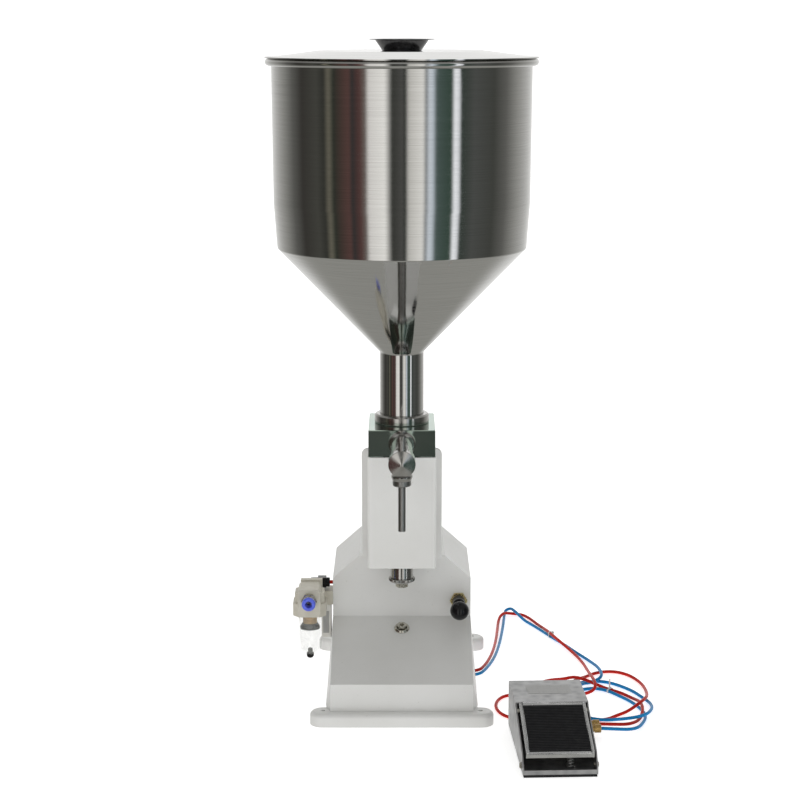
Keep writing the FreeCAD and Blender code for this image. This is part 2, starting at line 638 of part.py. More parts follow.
def stroke_adjuster():
    """Flanged sleeve on the tail rod that meets the lower head, and its lock nut."""
    axis = (0, "cylinder_back", 0)
    bore = "tail_radius + play"
    outline = [(bore, "sleeve_low"), ("sleeve_flange - 3.2", "sleeve_low"),
               ("sleeve_flange - 0.6", "sleeve_low + 1.6"), ("sleeve_flange", "sleeve_low + 2.4"),
               ("sleeve_flange", "sleeve_low + 4.8"), ("sleeve_flange - 0.6", "sleeve_low + 5.4"),
               ("sleeve_radius - 0.9", "sleeve_low + 5.4"), ("sleeve_radius - 0.9", "sleeve_low + 6.4"),
               ("sleeve_radius", "sleeve_low + 6.4"), ("sleeve_radius", "sleeve_high"),
               (bore, "sleeve_high")]
    node(turned("stroke_adjuster", outline, axis))
    node(padded("adjuster_lock_nut", "XY_Plane", [hexagon(13), (0, 0, "tail_radius")],
                "sleeve_low - 6.5", 6.5, axis))


# ---------------------------------------------------------------- nozzle

def nozzle():
    """Horizontal arm with a head that carries the spout; the outlet check sits in the arm."""
    mouth = (0, "-block_half_depth", "nozzle_axis")
    reach, head, arm = "nozzle_reach", "nozzle_head", "nozzle_arm"
    outline = [(9, 0), ("nozzle_flange - 0.8", 0), ("nozzle_flange", 0.8), ("nozzle_flange", 4.5),
               (f"{arm} + 1.5", 7), (arm, 12), (arm, f"{reach} - 22"), (f"{arm} + 0.8", f"{reach} - 17"),
               (head, f"{reach} - 10"), (head, f"{reach} + 8.5"), ("nozzle_bore", f"{reach} + 8.5"),
               ("nozzle_bore", 32), (9, 32)]
    arm_body = turned("nozzle_arm_body", outline, mouth, ALONG_Y)
    spout_axis = ("0", "-block_half_depth - nozzle_reach")
    stub = [(0, "nozzle_axis - 7"), (8.5, "nozzle_axis - 7"), (8.5, "nozzle_axis - 10"),
            (12.3, "nozzle_axis - 14"), (12.3, "nozzle_axis - 16"), (10.9, "collar_nut_high"),
            (0, "collar_nut_high")]
    stub_body = turned("nozzle_stub", stub, (*spout_axis, 0))
    whole = fuse("nozzle_whole", arm_body, stub_body)
    end = f"{reach} + 8.5"
    down = rod("nozzle_spout_bore", "spout_shank", 30, (*spout_axis, "nozzle_axis - 25"))
    seat = rod("nozzle_cap_seat", f"{head} + 0.1", 8,
               (0, f"-block_half_depth - ({end})", "nozzle_axis"), ALONG_Y)
    node(cut("nozzle_body", whole, down, seat))
    spigot = "nozzle_bore - 0.05"
    cap = [(0, f"{end} - 2.5"), (spigot, f"{end} - 2.5"), (spigot, end), (head, end),
           (head, f"{end} + 1"), (2, f"{end} + 5.6"), (0, f"{end} + 6")]
    node(turned("nozzle_cap", cap, mouth, ALONG_Y))
    poppet = [(0, 0.3), ("poppet_radius", 0.3), ("poppet_radius", 4.3), (3, 4.3), (3, 24), (0, 24)]
    node(turned("outlet_poppet", poppet, mouth, ALONG_Y))
    node(spring("outlet_spring", 5, 1.2, 27, 6,
                (0, "-block_half_depth - 4.8", "nozzle_axis"), ALONG_Y))
    nut = [("spout_shank", "collar_nut_low"), (9.6, "collar_nut_low"),
           (10.7, "collar_nut_low + 1.2"), (10.7, "collar_nut_high"), ("spout_shank", "collar_nut_high")]
    node(turned("nozzle_collar_nut", nut, (*spout_axis, 0)))
    tube = [("spout_bore", "spout_low"), ("spout_radius", "spout_low"),
            ("spout_radius", "spout_high"), ("spout_shank", "spout_high"),
            ("spout_shank", "nozzle_axis - 10"), ("spout_bore", "nozzle_axis - 10")]
    node(turned("discharge_tube", tube, (*spout_axis, 0)))


# ---------------------------------------------------------------- front panel fittings

def front_screw():
    """Hex socket screw in a cup washer, square to the sloping front panel."""
    rise = value("waist - skirt_top")
    run = value("panel_front - housing_front")
    slope = math.degrees(math.atan2(rise, run))
    share = 0.81
    seat = Vector(0, value("housing_front") + share * run, value("skirt_top") + share * rise)
    square_on = Placement(seat, Rotation(Vector(1, 0, 0), slope))
    washer = turned("front_cup_washer", [(4, 0), (9.4, 0), (9.4, 1), (8, 3.2), (6.9, 3.2),
                                         (6.6, 1.2), (4, 1.2)])
    washer.Placement = square_on
    node(washer)
    head = padded("front_screw_head", "XY_Plane", [hexagon(11)], 1.2, 4.6)
    shank = rod("front_screw_shank", 3.9, 1.2, (0, 0, 0))
    solid = fuse("front_screw_solid", head, shank)
    socket = padded("front_screw_socket", "XY_Plane", [hexagon(5)], 3, 5)
    screw = cut("front_screw", solid, socket)
    screw.Placement = square_on
    node(screw)


def hand_valve():
    """Push-pull valve behind the panel, its barrel and panel nut, stem and ball knob."""
    panel = (0, "panel_front", 0)
    at = ("valve_across", "panel_front", "valve_up")
    body = block("hand_valve_block", ("valve_across - 10", "panel_front + housing_wall", "valve_up - 18"),
                 ("valve_across + 10", "panel_front + housing_wall + 34", "valve_up + 18"))
    barrel = turned("hand_valve_barrel", [(4.55, -5), (6, -5), (6, 4), (7.8, 4), (7.8, 20.5),
                                          (6.8, 21.5), (4.55, 21.5)], at, ALONG_Y)
    bore = rod("hand_valve_bore", 4.55, 44, ("valve_across", "panel_front + 30", "valve_up"), ALONG_Y)
    solid = fuse("hand_valve_solid", body, barrel)
    housing = cut("hand_valve_housing", solid, bore)
    nut = padded("hand_valve_nut", "XY_Plane", [hexagon(19), (0, 0, 6)], 0, 3.9, at, ALONG_Y)
    node(group("hand_valve_body", housing, nut))
    node(turned("hand_valve_stem", [(0, -22), (4.5, -22), (4.5, 36), (0, 36)], at, ALONG_Y))
    ball = doc.addObject("Part::Sphere", "knob_ball")
    ball.Radius = value("knob_radius")
    bind(ball, "Radius", "knob_radius")
    put(ball, ("valve_across", "knob_front", "valve_up"))
    neck = rod("knob_neck", 6.4, 8, ("valve_across", "knob_front + 12.5", "valve_up"), ALONG_Y)
    socket = rod("knob_socket", 4.5, 8, ("valve_across", "knob_front + 16.5", "valve_up"), ALONG_Y)
    node(cut("hand_valve_knob", fuse("knob_whole", ball, neck), socket))


# ---------------------------------------------------------------- air filter and pilot valve

def octagon(half, corner):
    """The corners of a square of this half width with its corners cut off."""
    short = half - corner
    return [(half, -short), (half, short), (short, half), (-short, half), (-half, short),
            (-half, -short), (-short, -half), (short, -half)]


def air_filter():
    """Small filter: ported body, clear bowl, bronze element on its baffle, drain cock."""
    axis = ("filter_across", "filter_depth", 0)
    lower = padded("filter_ring", "XY_Plane", [octagon(20, 7.7)], "filter_low",
                   "filter_step - filter_low", axis)
    upper = padded("filter_shoulder", "XY_Plane", [octagon(17.7, 6.5)], "filter_step",
                   "filter_high - filter_step", axis)
    half, low, high = "port_half_width", "filter_low", "port_high"
    face = [(f"3 - {half}", low), (f"{half} - 3", low), (half, f"{low} + 3"), (half, f"{high} - 3"),
            (f"{half} - 3", high), (f"3 - {half}", high), (f"-{half}", f"{high} - 3"),
            (f"-{half}", f"{low} + 3")]
    port = padded("filter_port", "XZ_Plane", [face], "-filter_depth - 20", 40,
                  ("filter_across", 0, 0))
    solid = fuse("filter_solid", lower, upper, port)
    recess = rod("filter_recess", 8.6, 8, ("filter_across", "filter_depth", "filter_low - 1"))
    node(cut("filter_body", solid, recess))
    outer, low = "bowl_radius", "bowl_low"
    outline = [(3, low), (9, low), (13.2, f"{low} + 4"), (14.2, f"{low} + 10"), (outer, "filter_low - 6"),
               (outer, "filter_low"), (f"{outer} - 2", "filter_low"), (f"{outer} - 2", "filter_low - 6"),
               (12.2, f"{low} + 10"), (11.2, f"{low} + 5.4"), (8, f"{low} + 2"), (3, f"{low} + 2")]
    node(turned("filter_bowl", outline, axis))
    node(ring("filter_element", 3, 8.5, "filter_low - 12", "filter_low + 6", axis))
    node(turned("filter_baffle", [(0, "filter_low - 19"), (12, "filter_low - 19"),
                                  (12, "filter_low - 16.5"), (9, "filter_low - 12"),
                                  (0, "filter_low - 12")], axis))
    node(turned("filter_drain", [(0, f"{low} - 6.5"), (3, f"{low} - 6.5"), (4.5, f"{low} - 4.5"),
                                 (4.5, f"{low} - 0.3"), (2.9, f"{low} - 0.3"), (2.9, f"{low} + 5"),
                                 (0, f"{low} + 5")], axis))


def inlet_fitting():
    """Push-in air fitting: nickel body and its blue release ring."""
    mouth = ("filter_across", "filter_depth - 20", "port_axis")
    hexed = padded("inlet_hex", "XY_Plane", [hexagon(17)], 0, 5, mouth, ALONG_Y)
    barrel = rod("inlet_barrel", 7.4, 10, mouth, ALONG_Y)
    solid = fuse("inlet_solid", hexed, barrel)
    seat = rod("inlet_seat", 5.6, 9.5, ("filter_across", "filter_depth - 22.5", "port_axis"), ALONG_Y)
    node(cut("air_inlet_fitting", solid, seat))
    node(turned("inlet_release_ring", [("inlet_radius", 4), (5.5, 4), (5.5, 12), (8.2, 12.6),
                                       (8.2, 16.5), (7.4, 18), ("inlet_radius + 0.6", 18),
                                       ("inlet_radius", 17.4)], mouth, ALONG_Y))


def pilot_valve():
    """Manifold behind the filter, the pilot valve under it with its spool, and its fitting."""
    depth, gap = "filter_depth + 20", "filter_across + 13"
    plate = block("manifold_plate", ("filter_across - 12", depth, 118),
                  ("filter_across + 14.5", f"{depth} + 9", 147))
    bridge = block("manifold_bridge", ("filter_across - 12", f"{depth} + 9", 118), (gap, 36, 133.4))
    seat = block("manifold_seat", (gap, 4, 114), ("-side_half_width", 32, 131))
    node(fuse("filter_manifold", plate, bridge, seat))
    body = block("pilot_solid", (gap, 4, 72), (-87.2, 32, 114))
    bore = rod("pilot_bore", 4, 38.5, (-93, 18, 74.5))
    node(cut("pilot_valve_body", body, bore))
    spool = [(0, 78), (3.95, 78), (3.95, 83), (2.6, 83), (2.6, 91), (3.95, 91), (3.95, 96),
             (2.6, 96), (2.6, 104), (3.95, 104), (3.95, 109), (0, 109)]
    node(turned("pilot_valve_spool", spool, (-93, 18, 0)))
    cap = block("fitting_cap", (-112.3, 12, 141.5), (-103, 24, 143.5))
    elbow = block("fitting_elbow", (-103.6, 12, 133.4), (-93, 24, 146))
    nose = rod("fitting_nose", 5.8, 4.2, (-93, 18, 139), ALONG_X)
    tube = rod("signal_tube", 2.3, "88.8 - side_half_width", (-88.8, 18, 139), ALONG_X)
    fitting = fuse("fitting_whole", cap, elbow, nose)
    node(group("pilot_valve_fitting", fitting, tube))


# ---------------------------------------------------------------- foot pedal

def pedal_shell():
    """Sheet housing over a bottom pan on a rubber sole, in the pedal's own frame."""
    half, thick = "pedal_half_width", "pedal_sheet"
    side = [(0, "sole_thick"), (0, "pedal_high"), ("-pedal_cover_length", "pedal_high"),
            ("-pedal_cover_length - 4", "pedal_high - 4"), ("-150", 25),
            ("-pedal_length", 11), ("-pedal_length", "sole_thick")]
    walls = [padded("pedal_wall", "YZ_Plane", [side], start, thick)
             for start in (f"-{half}", f"{half} - {thick}")]
    top = block("pedal_top", (f"-{half}", "-pedal_cover_length", f"pedal_high - {thick}"),
                (half, 0, "pedal_high"))
    back = block("pedal_back", (f"-{half}", f"-{thick}", "sole_thick"), (half, 0, "pedal_high"))
    shell = fuse("pedal_shell", *walls, top, back)
    pin_hole = rod("pedal_pin_hole", 3, 90, (-45, "pivot_back", "pivot_up"), ALONG_X)
    ports = [rod("pedal_port", 4.5, 10, (38, y, 12.4), ALONG_X) for y in (-31.5, -46.5)]
    screw_hole = rod("pedal_screw_hole", SCREW_HOLE, 90, (-45, -150, 9), ALONG_X)
    cover = cut("pedal_cover", shell, pin_hole, screw_hole, *ports)
    cover.Placement = PEDAL_PLACE
    node(cover)
    inner = f"{half} - {thick}"
    floor = block("pan_floor", (f"-({inner})", "-pedal_length", "sole_thick"),
                  (inner, f"-{thick}", f"sole_thick + {thick}"))
    lip = block("pan_lip", (f"-({inner})", "-pedal_length", "sole_thick"),
                (inner, f"{thick} - pedal_length", "sole_thick + 5.5"))
    pan = fuse("pedal_base", floor, lip)
    pan.Placement = PEDAL_PLACE
    node(pan)
    plan = rectangle(f"1 - {half}", "-pedal_length - 1", f"{half} - 1", -1)
    sole = padded("pedal_sole", "XY_Plane", [plan], 0, "sole_thick")
    sole.Placement = PEDAL_PLACE
    node(sole)


def pedal_tread():
    """Sheet tread with turned-down edges, hinge ears, cam leg and spring cup; its rubber pad."""
    half, thick, length = "tread_half_width", 1.5, "tread_length"
    slope = Placement(Vector(0, value("pivot_back"), value("pivot_up")),
                      Rotation(Vector(1, 0, 0), TREAD_SLOPE))
    plate = block("tread_plate", (f"-{half}", f"-{length}", 6), (half, 4, 7.5))
    front = block("tread_front", (f"-{half}", f"-{length}", 1.5), (half, f"{thick} - {length}", 7.5))
    sides = [block("tread_side", (start, f"-{length}", 1.2), (f"{start} + {thick}", 4, 7.5))
             for start in (f"-{half}", f"{half} - {thick}")]
    ears = [rod("tread_ear", 7, thick, (start, 0, 0), ALONG_X)
            for start in (f"-{half}", f"{half} - {thick}")]
    pressed = fuse("tread_pressed", plate, front, *sides, *ears)
    pressed.Placement = slope
    leg_low, leg_front = 15, -85.5
    leg = block("tread_leg", (-9, leg_front, leg_low), (9, leg_front + thick, 51.5))
    cup = rod("tread_spring_cup", 6.6, 4.5, ("spring_across", "spring_back", 27))
    whole = fuse("tread_whole", pressed, leg, cup)
    pin_bore = rod("tread_pin_bore", 3.06, 90, (-45, "pivot_back", "pivot_up"), ALONG_X)
    over = group("tread_over", block("tread_over_block", (-45, -90, 7.5), (45, 10, 20)))
    over.Placement = slope
    tread = cut("pedal_tread", whole, pin_bore, over)
    tread.Placement = PEDAL_PLACE
    node(tread)
    pad_half, rib, pitch = 34, 1.4, 2.8
    pad = block("pad_plain", (-pad_half, -81.5, 7.5), (pad_half, -2, 10))
    grooves = [block("pad_groove", (-pad_half - 1, -79.5 + pitch * index, 9.2),
                     (pad_half + 1, -79.5 + pitch * index + rib, 11)) for index in range(27)]
    doc.recompute()
    ribbed = doc.addObject("Part::Cut", "pad_ribbed")
    ribbed.Base = pad
    ribbed.Tool = group("pad_grooves", *grooves)
    doc.recompute()
    rubber = group("pedal_pad", ribbed)
    rubber.Placement = PEDAL_PLACE.multiply(slope)
    node(rubber)


def pedal_works():
    """Hinge pin, return spring, valve with its plunger, and two hose fittings."""
    stock = rod("hinge_pin_stock", 3, "2 * pedal_half_width",
                ("-pedal_half_width", "pivot_back", "pivot_up"), ALONG_X)
    pin = group("pedal_hinge_pin", stock)
    pin.Placement = PEDAL_PLACE
    node(pin)
    floor = value("sole_thick + pedal_sheet")
    coil = spring("pedal_spring", 5.1, 1.5, 26.4 - floor, 6, (0, 0, 0))
    coil.Placement = PEDAL_PLACE.multiply(
        Placement(Vector(value("spring_across"), value("spring_back"), floor + 0.3), Rotation()))
    node(coil)
    body = block("pedal_valve_solid", (-12, -54, floor), (40.4, -24, 27))
    bore = rod("pedal_valve_bore", 3.05, 28, (0, -27, 20), ALONG_Y)
    valve = cut("pedal_valve_body", body, bore)
    valve.Placement = PEDAL_PLACE
    node(valve)
    spool = turned("pedal_valve_spool", [(0, 0), (3, 0), (3, 48), (2.2, 49), (0, 49)])
    spool.Placement = PEDAL_PLACE.multiply(Placement(Vector(0, -34, 20), ALONG_Y))
    node(spool)
    fitting = turned("pedal_fitting", [(2, 0), (4.5, 0), (4.5, 12), (4, 12), (4, 13.5), (5, 13.5),
                                       (5, 21), (2, 21)])
    places = [PEDAL_PLACE.multiply(Placement(Vector(40.4, y, 12.4), ALONG_X))
              for y in (-31.5, -46.5)]
    node(copies("pedal_fittings", fitting, places))


def cover_screws():
    """Pan-head screws of the rear cover and of the pedal's side walls."""
    head = turned("pan_head_screw", [(0, -3), (2, -3), (2, 0), (3.8, 0), (3.6, 1.6), (2.4, 2.4),
                                     (0, 2.5)])
    back = value("housing_back + cover_plate")
    facing_back = Rotation(Vector(1, 0, 0), -90)
    places = [Placement(Vector(value(x), back, value(z)), facing_back) for x, z in COVER_SCREWS]
    side = value("pedal_half_width")
    for sign in (-1, 1):
        outward = Rotation(Vector(0, 1, 0), sign * 90)
        local = Placement(Vector(sign * side, -150, 9), outward)
        places.append(PEDAL_PLACE.multiply(local))
    node(copies("cover_screws", head, places))


# ---------------------------------------------------------------- hoses

def hose_grommets():
    """Two rubber grommets where the hoses leave the right wall."""
    outline = [(2, 0), (4.4, 0), (4.4, 0.9), (3.2, 0.9), (3.2, 4.8), (2, 4.8)]
    pair = [turned(f"{colour}_grommet", outline, (84.9, f"{colour}_exit", "exit_up"), ALONG_X)
            for colour in ("red", "blue")]
    node(group("hose_grommets", *pair))


def tube_path(name, route):
    """Straight runs joined by tangent arcs as large as the shorter run allows."""
    points = [Vector(*point) for point in route]
    edges = []
    radii = []
    start = points[0]
    for before, corner, after in zip(points, points[1:], points[2:]):
        inward = (before - corner).normalize()
        outward = (after - corner).normalize()
        turn = math.pi - inward.getAngle(outward)
        tangent = 0.45 * min((before - corner).Length, (after - corner).Length)
        radius = tangent / math.tan(turn / 2)
        radii.append(round(radius, 1))
        first = corner + inward * tangent
        last = corner + outward * tangent
        centre_way = (inward + outward).normalize()
        middle = corner + centre_way * (radius / math.cos(turn / 2) - radius)
        edges.append(Part.LineSegment(start, first).toShape())
        edges.append(Part.Arc(first, middle, last).toShape())
        start = last
    edges.append(Part.LineSegment(start, points[-1]).toShape())
    path = Part.Wire(edges)
    print(f"{name}: {path.Length:.0f} mm, smallest radius {min(radii)}, radii {radii}")
    return path


def hose(name, route):
    """A hose's plain tube along its route."""
    radius = value("hose_radius")
    path = tube_path(name, route)
    heading = Vector(*route[1]) - Vector(*route[0])
    circle = Part.Circle(Vector(*route[0]), heading, radius).toShape()
    tube = path.makePipeShell([Part.Wire(circle)], True, False)
    expected = math.pi * radius ** 2 * path.Length
    if abs(tube.Volume / expected - 1) > 0.01:
        raise RuntimeError(f"{name} has the wrong volume")
    feature = doc.addObject("Part::Feature", name)
    feature.Shape = tube
    node(feature)


def tie(label, spread, lumps):
    """A strap round two hoses lying spread mm each side of its middle, with its head and tail."""
    loops = []
    for name, radius, half in (("outer", 2.8, 1.1), ("inner", 2.3, 2)):
        ends = [rod(f"{label}_{name}_end_{side}", radius, 2 * half, (x, 0, -half))
                for side, x in enumerate((-spread, spread))]
        middle = block(f"{label}_{name}_middle", (-spread, -radius, -half), (spread, radius, half))
        loops.append(fuse(f"{label}_{name}", *ends, middle))
    strap = cut(f"{label}_strap", *loops)
    blocks = [block(f"{label}_lump_{number}", *ends) for number, ends in enumerate(lumps)]
    return group(f"{label}_tie", fuse(f"{label}_whole", strap, *blocks))


def upright_frame(origin, along, first):
    """A placement whose Z points along the hoses and whose X points towards first."""
    return Placement(origin, Rotation(first, along.cross(first), along, "ZXY"))


def hose_ties():
    """Two small ties round the pair of hoses: half way along them, and at the coil."""
    up = Vector(0, 0, 1)
    along = Vector(0.308, -0.951, 0.022)
    middle = tie("middle", 2.32, [((1.5, -5, -1.5), (4.5, -2.5, 1.5))])
    middle.Placement = upright_frame(Vector(200.8, 225.4, 5.2), along, up)
    along = Vector(0.755, -0.654, 0)
    coil = tie("coil", 2.86, [((-1.5, 2.5, -1.5), (1.5, 4.6, 1.5)),
                              ((-1.1, 4.5, -0.9), (1.1, 15, -0.1))])
    coil.Placement = upright_frame(Vector(258.4, 4.8, 3), along, up.cross(along))
    node(group("hose_ties", middle, coil))


# ---------------------------------------------------------------- build, check and write

def check_document():
    """Stop on any object that failed, or a sub-part that isn't a valid solid."""
    for item in doc.Objects:
        if {"Invalid", "Error"} & set(item.State):
            raise RuntimeError(f"{item.Label}: {item.State}")
    for label, item in NODES.items():
        shape = item.Shape
        if shape.isNull() or not shape.isValid() or not shape.Solids:
            raise RuntimeError(f"{label} isn't a valid solid")


def main():
    fill_sheet()
    for build in (base_plate, body_housing, rear_cover, column, cylinder_cover, valve_block,
                  hopper_collar, hopper, lid, lid_knob, inlet_ball, cylinder_tubes,
                  cylinder_heads, tie_rods, piston_group, stroke_adjuster, nozzle, front_screw,
                  hand_valve, air_filter, inlet_fitting, pilot_valve, pedal_shell, pedal_tread,
                  pedal_works, cover_screws, hose_grommets, hose_ties):
        build()
    hose("red_hose", RED_ROUTE)
    hose("blue_hose", BLUE_ROUTE)
    doc.recompute()
    check_document()
    os.makedirs("parts", exist_ok=True)
    for label, item in NODES.items():
        item.Shape.exportStep(f"parts/{label}.step")
    print(len(NODES), "nodes written")


main()
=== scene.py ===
"""Looks of the tabletop piston filler. Metres, in the same frame as the CAD:
+Z up, -Y towards the operator, +X to the operator's right, origin on the table under the hopper."""
import json
import math

import bmesh
import bpy
from mathutils import Matrix, Vector


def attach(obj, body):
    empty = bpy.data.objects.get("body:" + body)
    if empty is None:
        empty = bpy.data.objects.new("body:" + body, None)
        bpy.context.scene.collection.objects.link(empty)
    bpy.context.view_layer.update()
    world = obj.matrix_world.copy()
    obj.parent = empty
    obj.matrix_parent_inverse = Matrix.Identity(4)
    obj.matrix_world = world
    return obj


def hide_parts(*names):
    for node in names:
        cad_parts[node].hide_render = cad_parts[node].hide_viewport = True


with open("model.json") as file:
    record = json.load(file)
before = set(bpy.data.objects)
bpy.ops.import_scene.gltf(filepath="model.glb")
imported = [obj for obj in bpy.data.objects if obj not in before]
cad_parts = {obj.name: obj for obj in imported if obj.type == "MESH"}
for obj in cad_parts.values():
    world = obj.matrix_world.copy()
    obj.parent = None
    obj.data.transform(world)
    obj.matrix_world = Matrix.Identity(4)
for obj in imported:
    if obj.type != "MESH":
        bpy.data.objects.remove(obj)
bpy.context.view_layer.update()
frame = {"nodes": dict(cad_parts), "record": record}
NODES = frame["nodes"]

# ---------------------------------------------------------------- sizes, in metres

CAMERA_PLACE = (-0.0022, -2.3665, 0.8276)
CAMERA_DOWN = 10.91
CAMERA_LENS = 90
HOSE = 0.004
MILLIMETRES = 1000

# Routes of the two hoses, the same points as in the CAD source.
RED_ROUTE = [
    (91, 28, 21), (97.5, 33, 20.4), (102.5, 47, 19.4), (109, 73, 17.3), (116, 112, 14.2),
    (121.5, 153, 11), (126, 196, 7.8), (129.5, 240, 4.5), (132, 272, 2.6), (133.5, 291, 2.5),
    (136.5, 307, 5.5), (142.5, 318, 7.5), (149, 327, 4.5), (159, 331, 2.3), (169, 327, 2.3),
    (176.5, 313.5, 2.3), (182, 298, 2.3), (187, 282, 2.3), (195, 252.5, 4.8), (200, 227, 7.8),
    (209, 194.5, 7.6), (219.5, 171, 4.5), (229, 141.5, 3), (234.5, 106, 4.5), (236, 81, 6.3),
    (237, 58, 9), (238, 38, 11.5), (239.3, 20, 13.1), (240, 4, 12.8), (239, -6.5, 9.5),
    (231.5, -11.5, 6), (221, -10, 3.2), (204, -13, 2.3), (184, -20, 2.3), (154, -14, 2.3),
    (131, -8, 2.3), (117, -27, 2.3), (113, -57, 2.3), (122, -86, 2.3), (145, -100, 2.3),
    (180, -101, 2.3), (214, -101, 2.3), (243, -99, 2.3), (257.5, -83.5, 2.3), (271.5, -74.5, 4),
    (285, -66.5, 10.6), (295, -51, 12), (302, -22, 6.5), (303, 17.5, 3), (298.5, 44, 2.3),
    (288.5, 67, 2.3), (273.5, 80, 2.3), (257.5, 79.5, 2.3), (244, 72, 2.3), (232.5, 58, 2.3),
    (221.5, 38.5, 6.5), (208.5, 12, 9.6), (196, 0.5, 7.5), (182, 3, 4.5), (172, 14, 2.8),
    (171, 29, 2.5), (180, 39.5, 3.5), (191, 40.5, 5), (203, 34, 8), (216, 30, 12.5),
    (229, 21.5, 11.8), (243, 15, 7.1), (257, 9.5, 3.1), (271.5, -1.5, 2.3), (283.5, -21.5, 2.3),
    (290.5, -47, 6.9), (290.5, -73, 6.9), (284, -101, 3.4), (268, -129, 8), (250, -139, 11.5),
    (231.5, -139.8, 12.4),
]
BLUE_ROUTE = [
    (91, 13, 21), (97.5, 18.5, 20.3), (103, 33, 19), (109, 57, 16.5), (116, 90, 13),
    (122.5, 129, 9.2), (128, 170, 6.2), (133, 213, 3.8), (137, 252, 2.3), (140, 281, 2.3),
    (142, 306, 2.3), (144.3, 330, 2.3), (146, 342.5, 4), (153.5, 343, 6.8), (157.5, 330.5, 7.5),
    (163.5, 313.5, 5.8), (170, 300, 2.6), (178, 283, 2.3), (186.5, 264, 2.3), (195.5, 239, 2.9),
    (205, 215.5, 2.9), (217.5, 191, 2.3), (228.5, 160.5, 2.3), (237.5, 139.5, 2.3),
    (246, 113, 3.5), (251, 88.5, 6.1), (253.5, 62.5, 7.7), (252, 45.5, 7.4), (245.5, 35.5, 6.1),
    (236, 32.5, 3.4), (224.5, 19.5, 7), (214, -10, 9.6), (205, -38, 7), (203, -66, 7),
    (208, -90, 7), (222, -106, 7), (240, -112.5, 7), (255.5, -110.5, 7.2), (269.5, -108.5, 7.9),
    (282, -106, 9.2), (292.5, -96.5, 9), (300.5, -73, 6), (303.5, -55, 4), (302.5, -35.5, 2.3),
    (297, -21.5, 2.3), (287.5, 4, 2.3), (275, 22.5, 2.3), (263.5, 35, 2.3), (253, 41, 2.3),
    (242.5, 42, 2.3), (231.5, 38.5, 2.3), (219, 34.5, 2.3), (205, 26.5, 2.3), (201, 14.5, 2.3),
    (210, 6, 2.3), (224, 9.5, 2.3), (234, 14.5, 2.3), (244, 13.5, 2.6), (256, 3.8, 3.1),
    (268, -12.5, 2.3), (278.5, -30, 2.3), (286, -49, 2.3), (291.5, -69.5, 2.3), (292, -90.5, 2.3),
    (284, -117.5, 4), (277, -135, 6), (266, -148, 8.5), (250, -154.6, 11.5), (232, -154.8, 12.4),
]


# ---------------------------------------------------------------- camera, light and floor

def make_camera():
    """Level camera straight in front, looking slightly down, as for the product picture."""
    data = bpy.data.cameras.new("camera")
    data.lens = CAMERA_LENS
    data.sensor_width = 36
    camera = bpy.data.objects.new("camera", data)
    camera.location = CAMERA_PLACE
    camera.rotation_euler = (math.radians(90 - CAMERA_DOWN), 0, 0)
    bpy.context.collection.objects.link(camera)
    bpy.context.scene.camera = camera


def area_light(name, place, target, size, power, tint=(1, 1, 1)):
    """A soft box aimed at a point. Polished metal shows the room instead of the box."""
    data = bpy.data.lights.new(name, "AREA")
    data.shape = "RECTANGLE"
    data.size, data.size_y = size
    data.energy = power
    data.color = tint
    light = bpy.data.objects.new(name, data)
    light.location = place
    light.rotation_euler = (Vector(target) - Vector(place)).to_track_quat("-Z", "Y").to_euler()
    light.visible_glossy = False
    bpy.context.collection.objects.link(light)


def make_lights():
    """Broad soft light from above and in front, weaker from each side."""
    area_light("key", (-1.3, -2.2, 2.6), (0, 0, 0.3), (2.2, 2.2), 11)
    area_light("fill", (2.0, -1.6, 1.5), (0, 0, 0.3), (1.8, 1.8), 4.5)
    area_light("top", (0, 0.3, 3.0), (0, 0, 0), (3.0, 3.0), 12)
    area_light("back", (0, 3.0, 1.8), (0, 0, 0.2), (3.0, 1.5), 5)


# What a polished wall mirrors round the room: degrees to the right of straight ahead, and a colour.
ROOM = (
    (-180, (1.00, 1.00, 0.99)), (-128, (0.36, 0.36, 0.34)),
    (-112, (0.15, 0.15, 0.14)), (-98, (0.055, 0.052, 0.047)), (-80, (0.080, 0.080, 0.070)),
    (-72, (0.045, 0.046, 0.040)), (-67, (0.19, 0.18, 0.14)), (-62, (0.04, 0.045, 0.036)),
    (-47, (0.13, 0.070, 0.063)),
    (-44, (0.045, 0.045, 0.045)), (-37, (0.12, 0.06, 0.055)), (-32, (0.20, 0.17, 0.155)),
    (-29, (0.95, 0.93, 0.90)), (-15, (1.15, 1.14, 1.10)),
    (-9, (0.05, 0.052, 0.045)), (0, (0.10, 0.10, 0.095)),
    (3, (0.035, 0.040, 0.034)), (6, (0.75, 0.74, 0.70)), (18, (1.05, 1.04, 1.00)),
    (21, (0.30, 0.32, 0.33)), (24, (0.85, 0.92, 1.00)), (27, (0.70, 0.78, 0.86)),
    (30, (0.10, 0.14, 0.13)), (44, (0.05, 0.085, 0.065)),
    (47, (1.30, 1.33, 1.38)), (51, (0.95, 0.98, 1.03)), (53, (0.05, 0.065, 0.055)),
    (66, (0.10, 0.105, 0.10)), (88, (0.075, 0.078, 0.07)),
    (104, (0.16, 0.16, 0.15)), (122, (0.38, 0.38, 0.36)), (180, (1.00, 1.00, 0.99)),
)


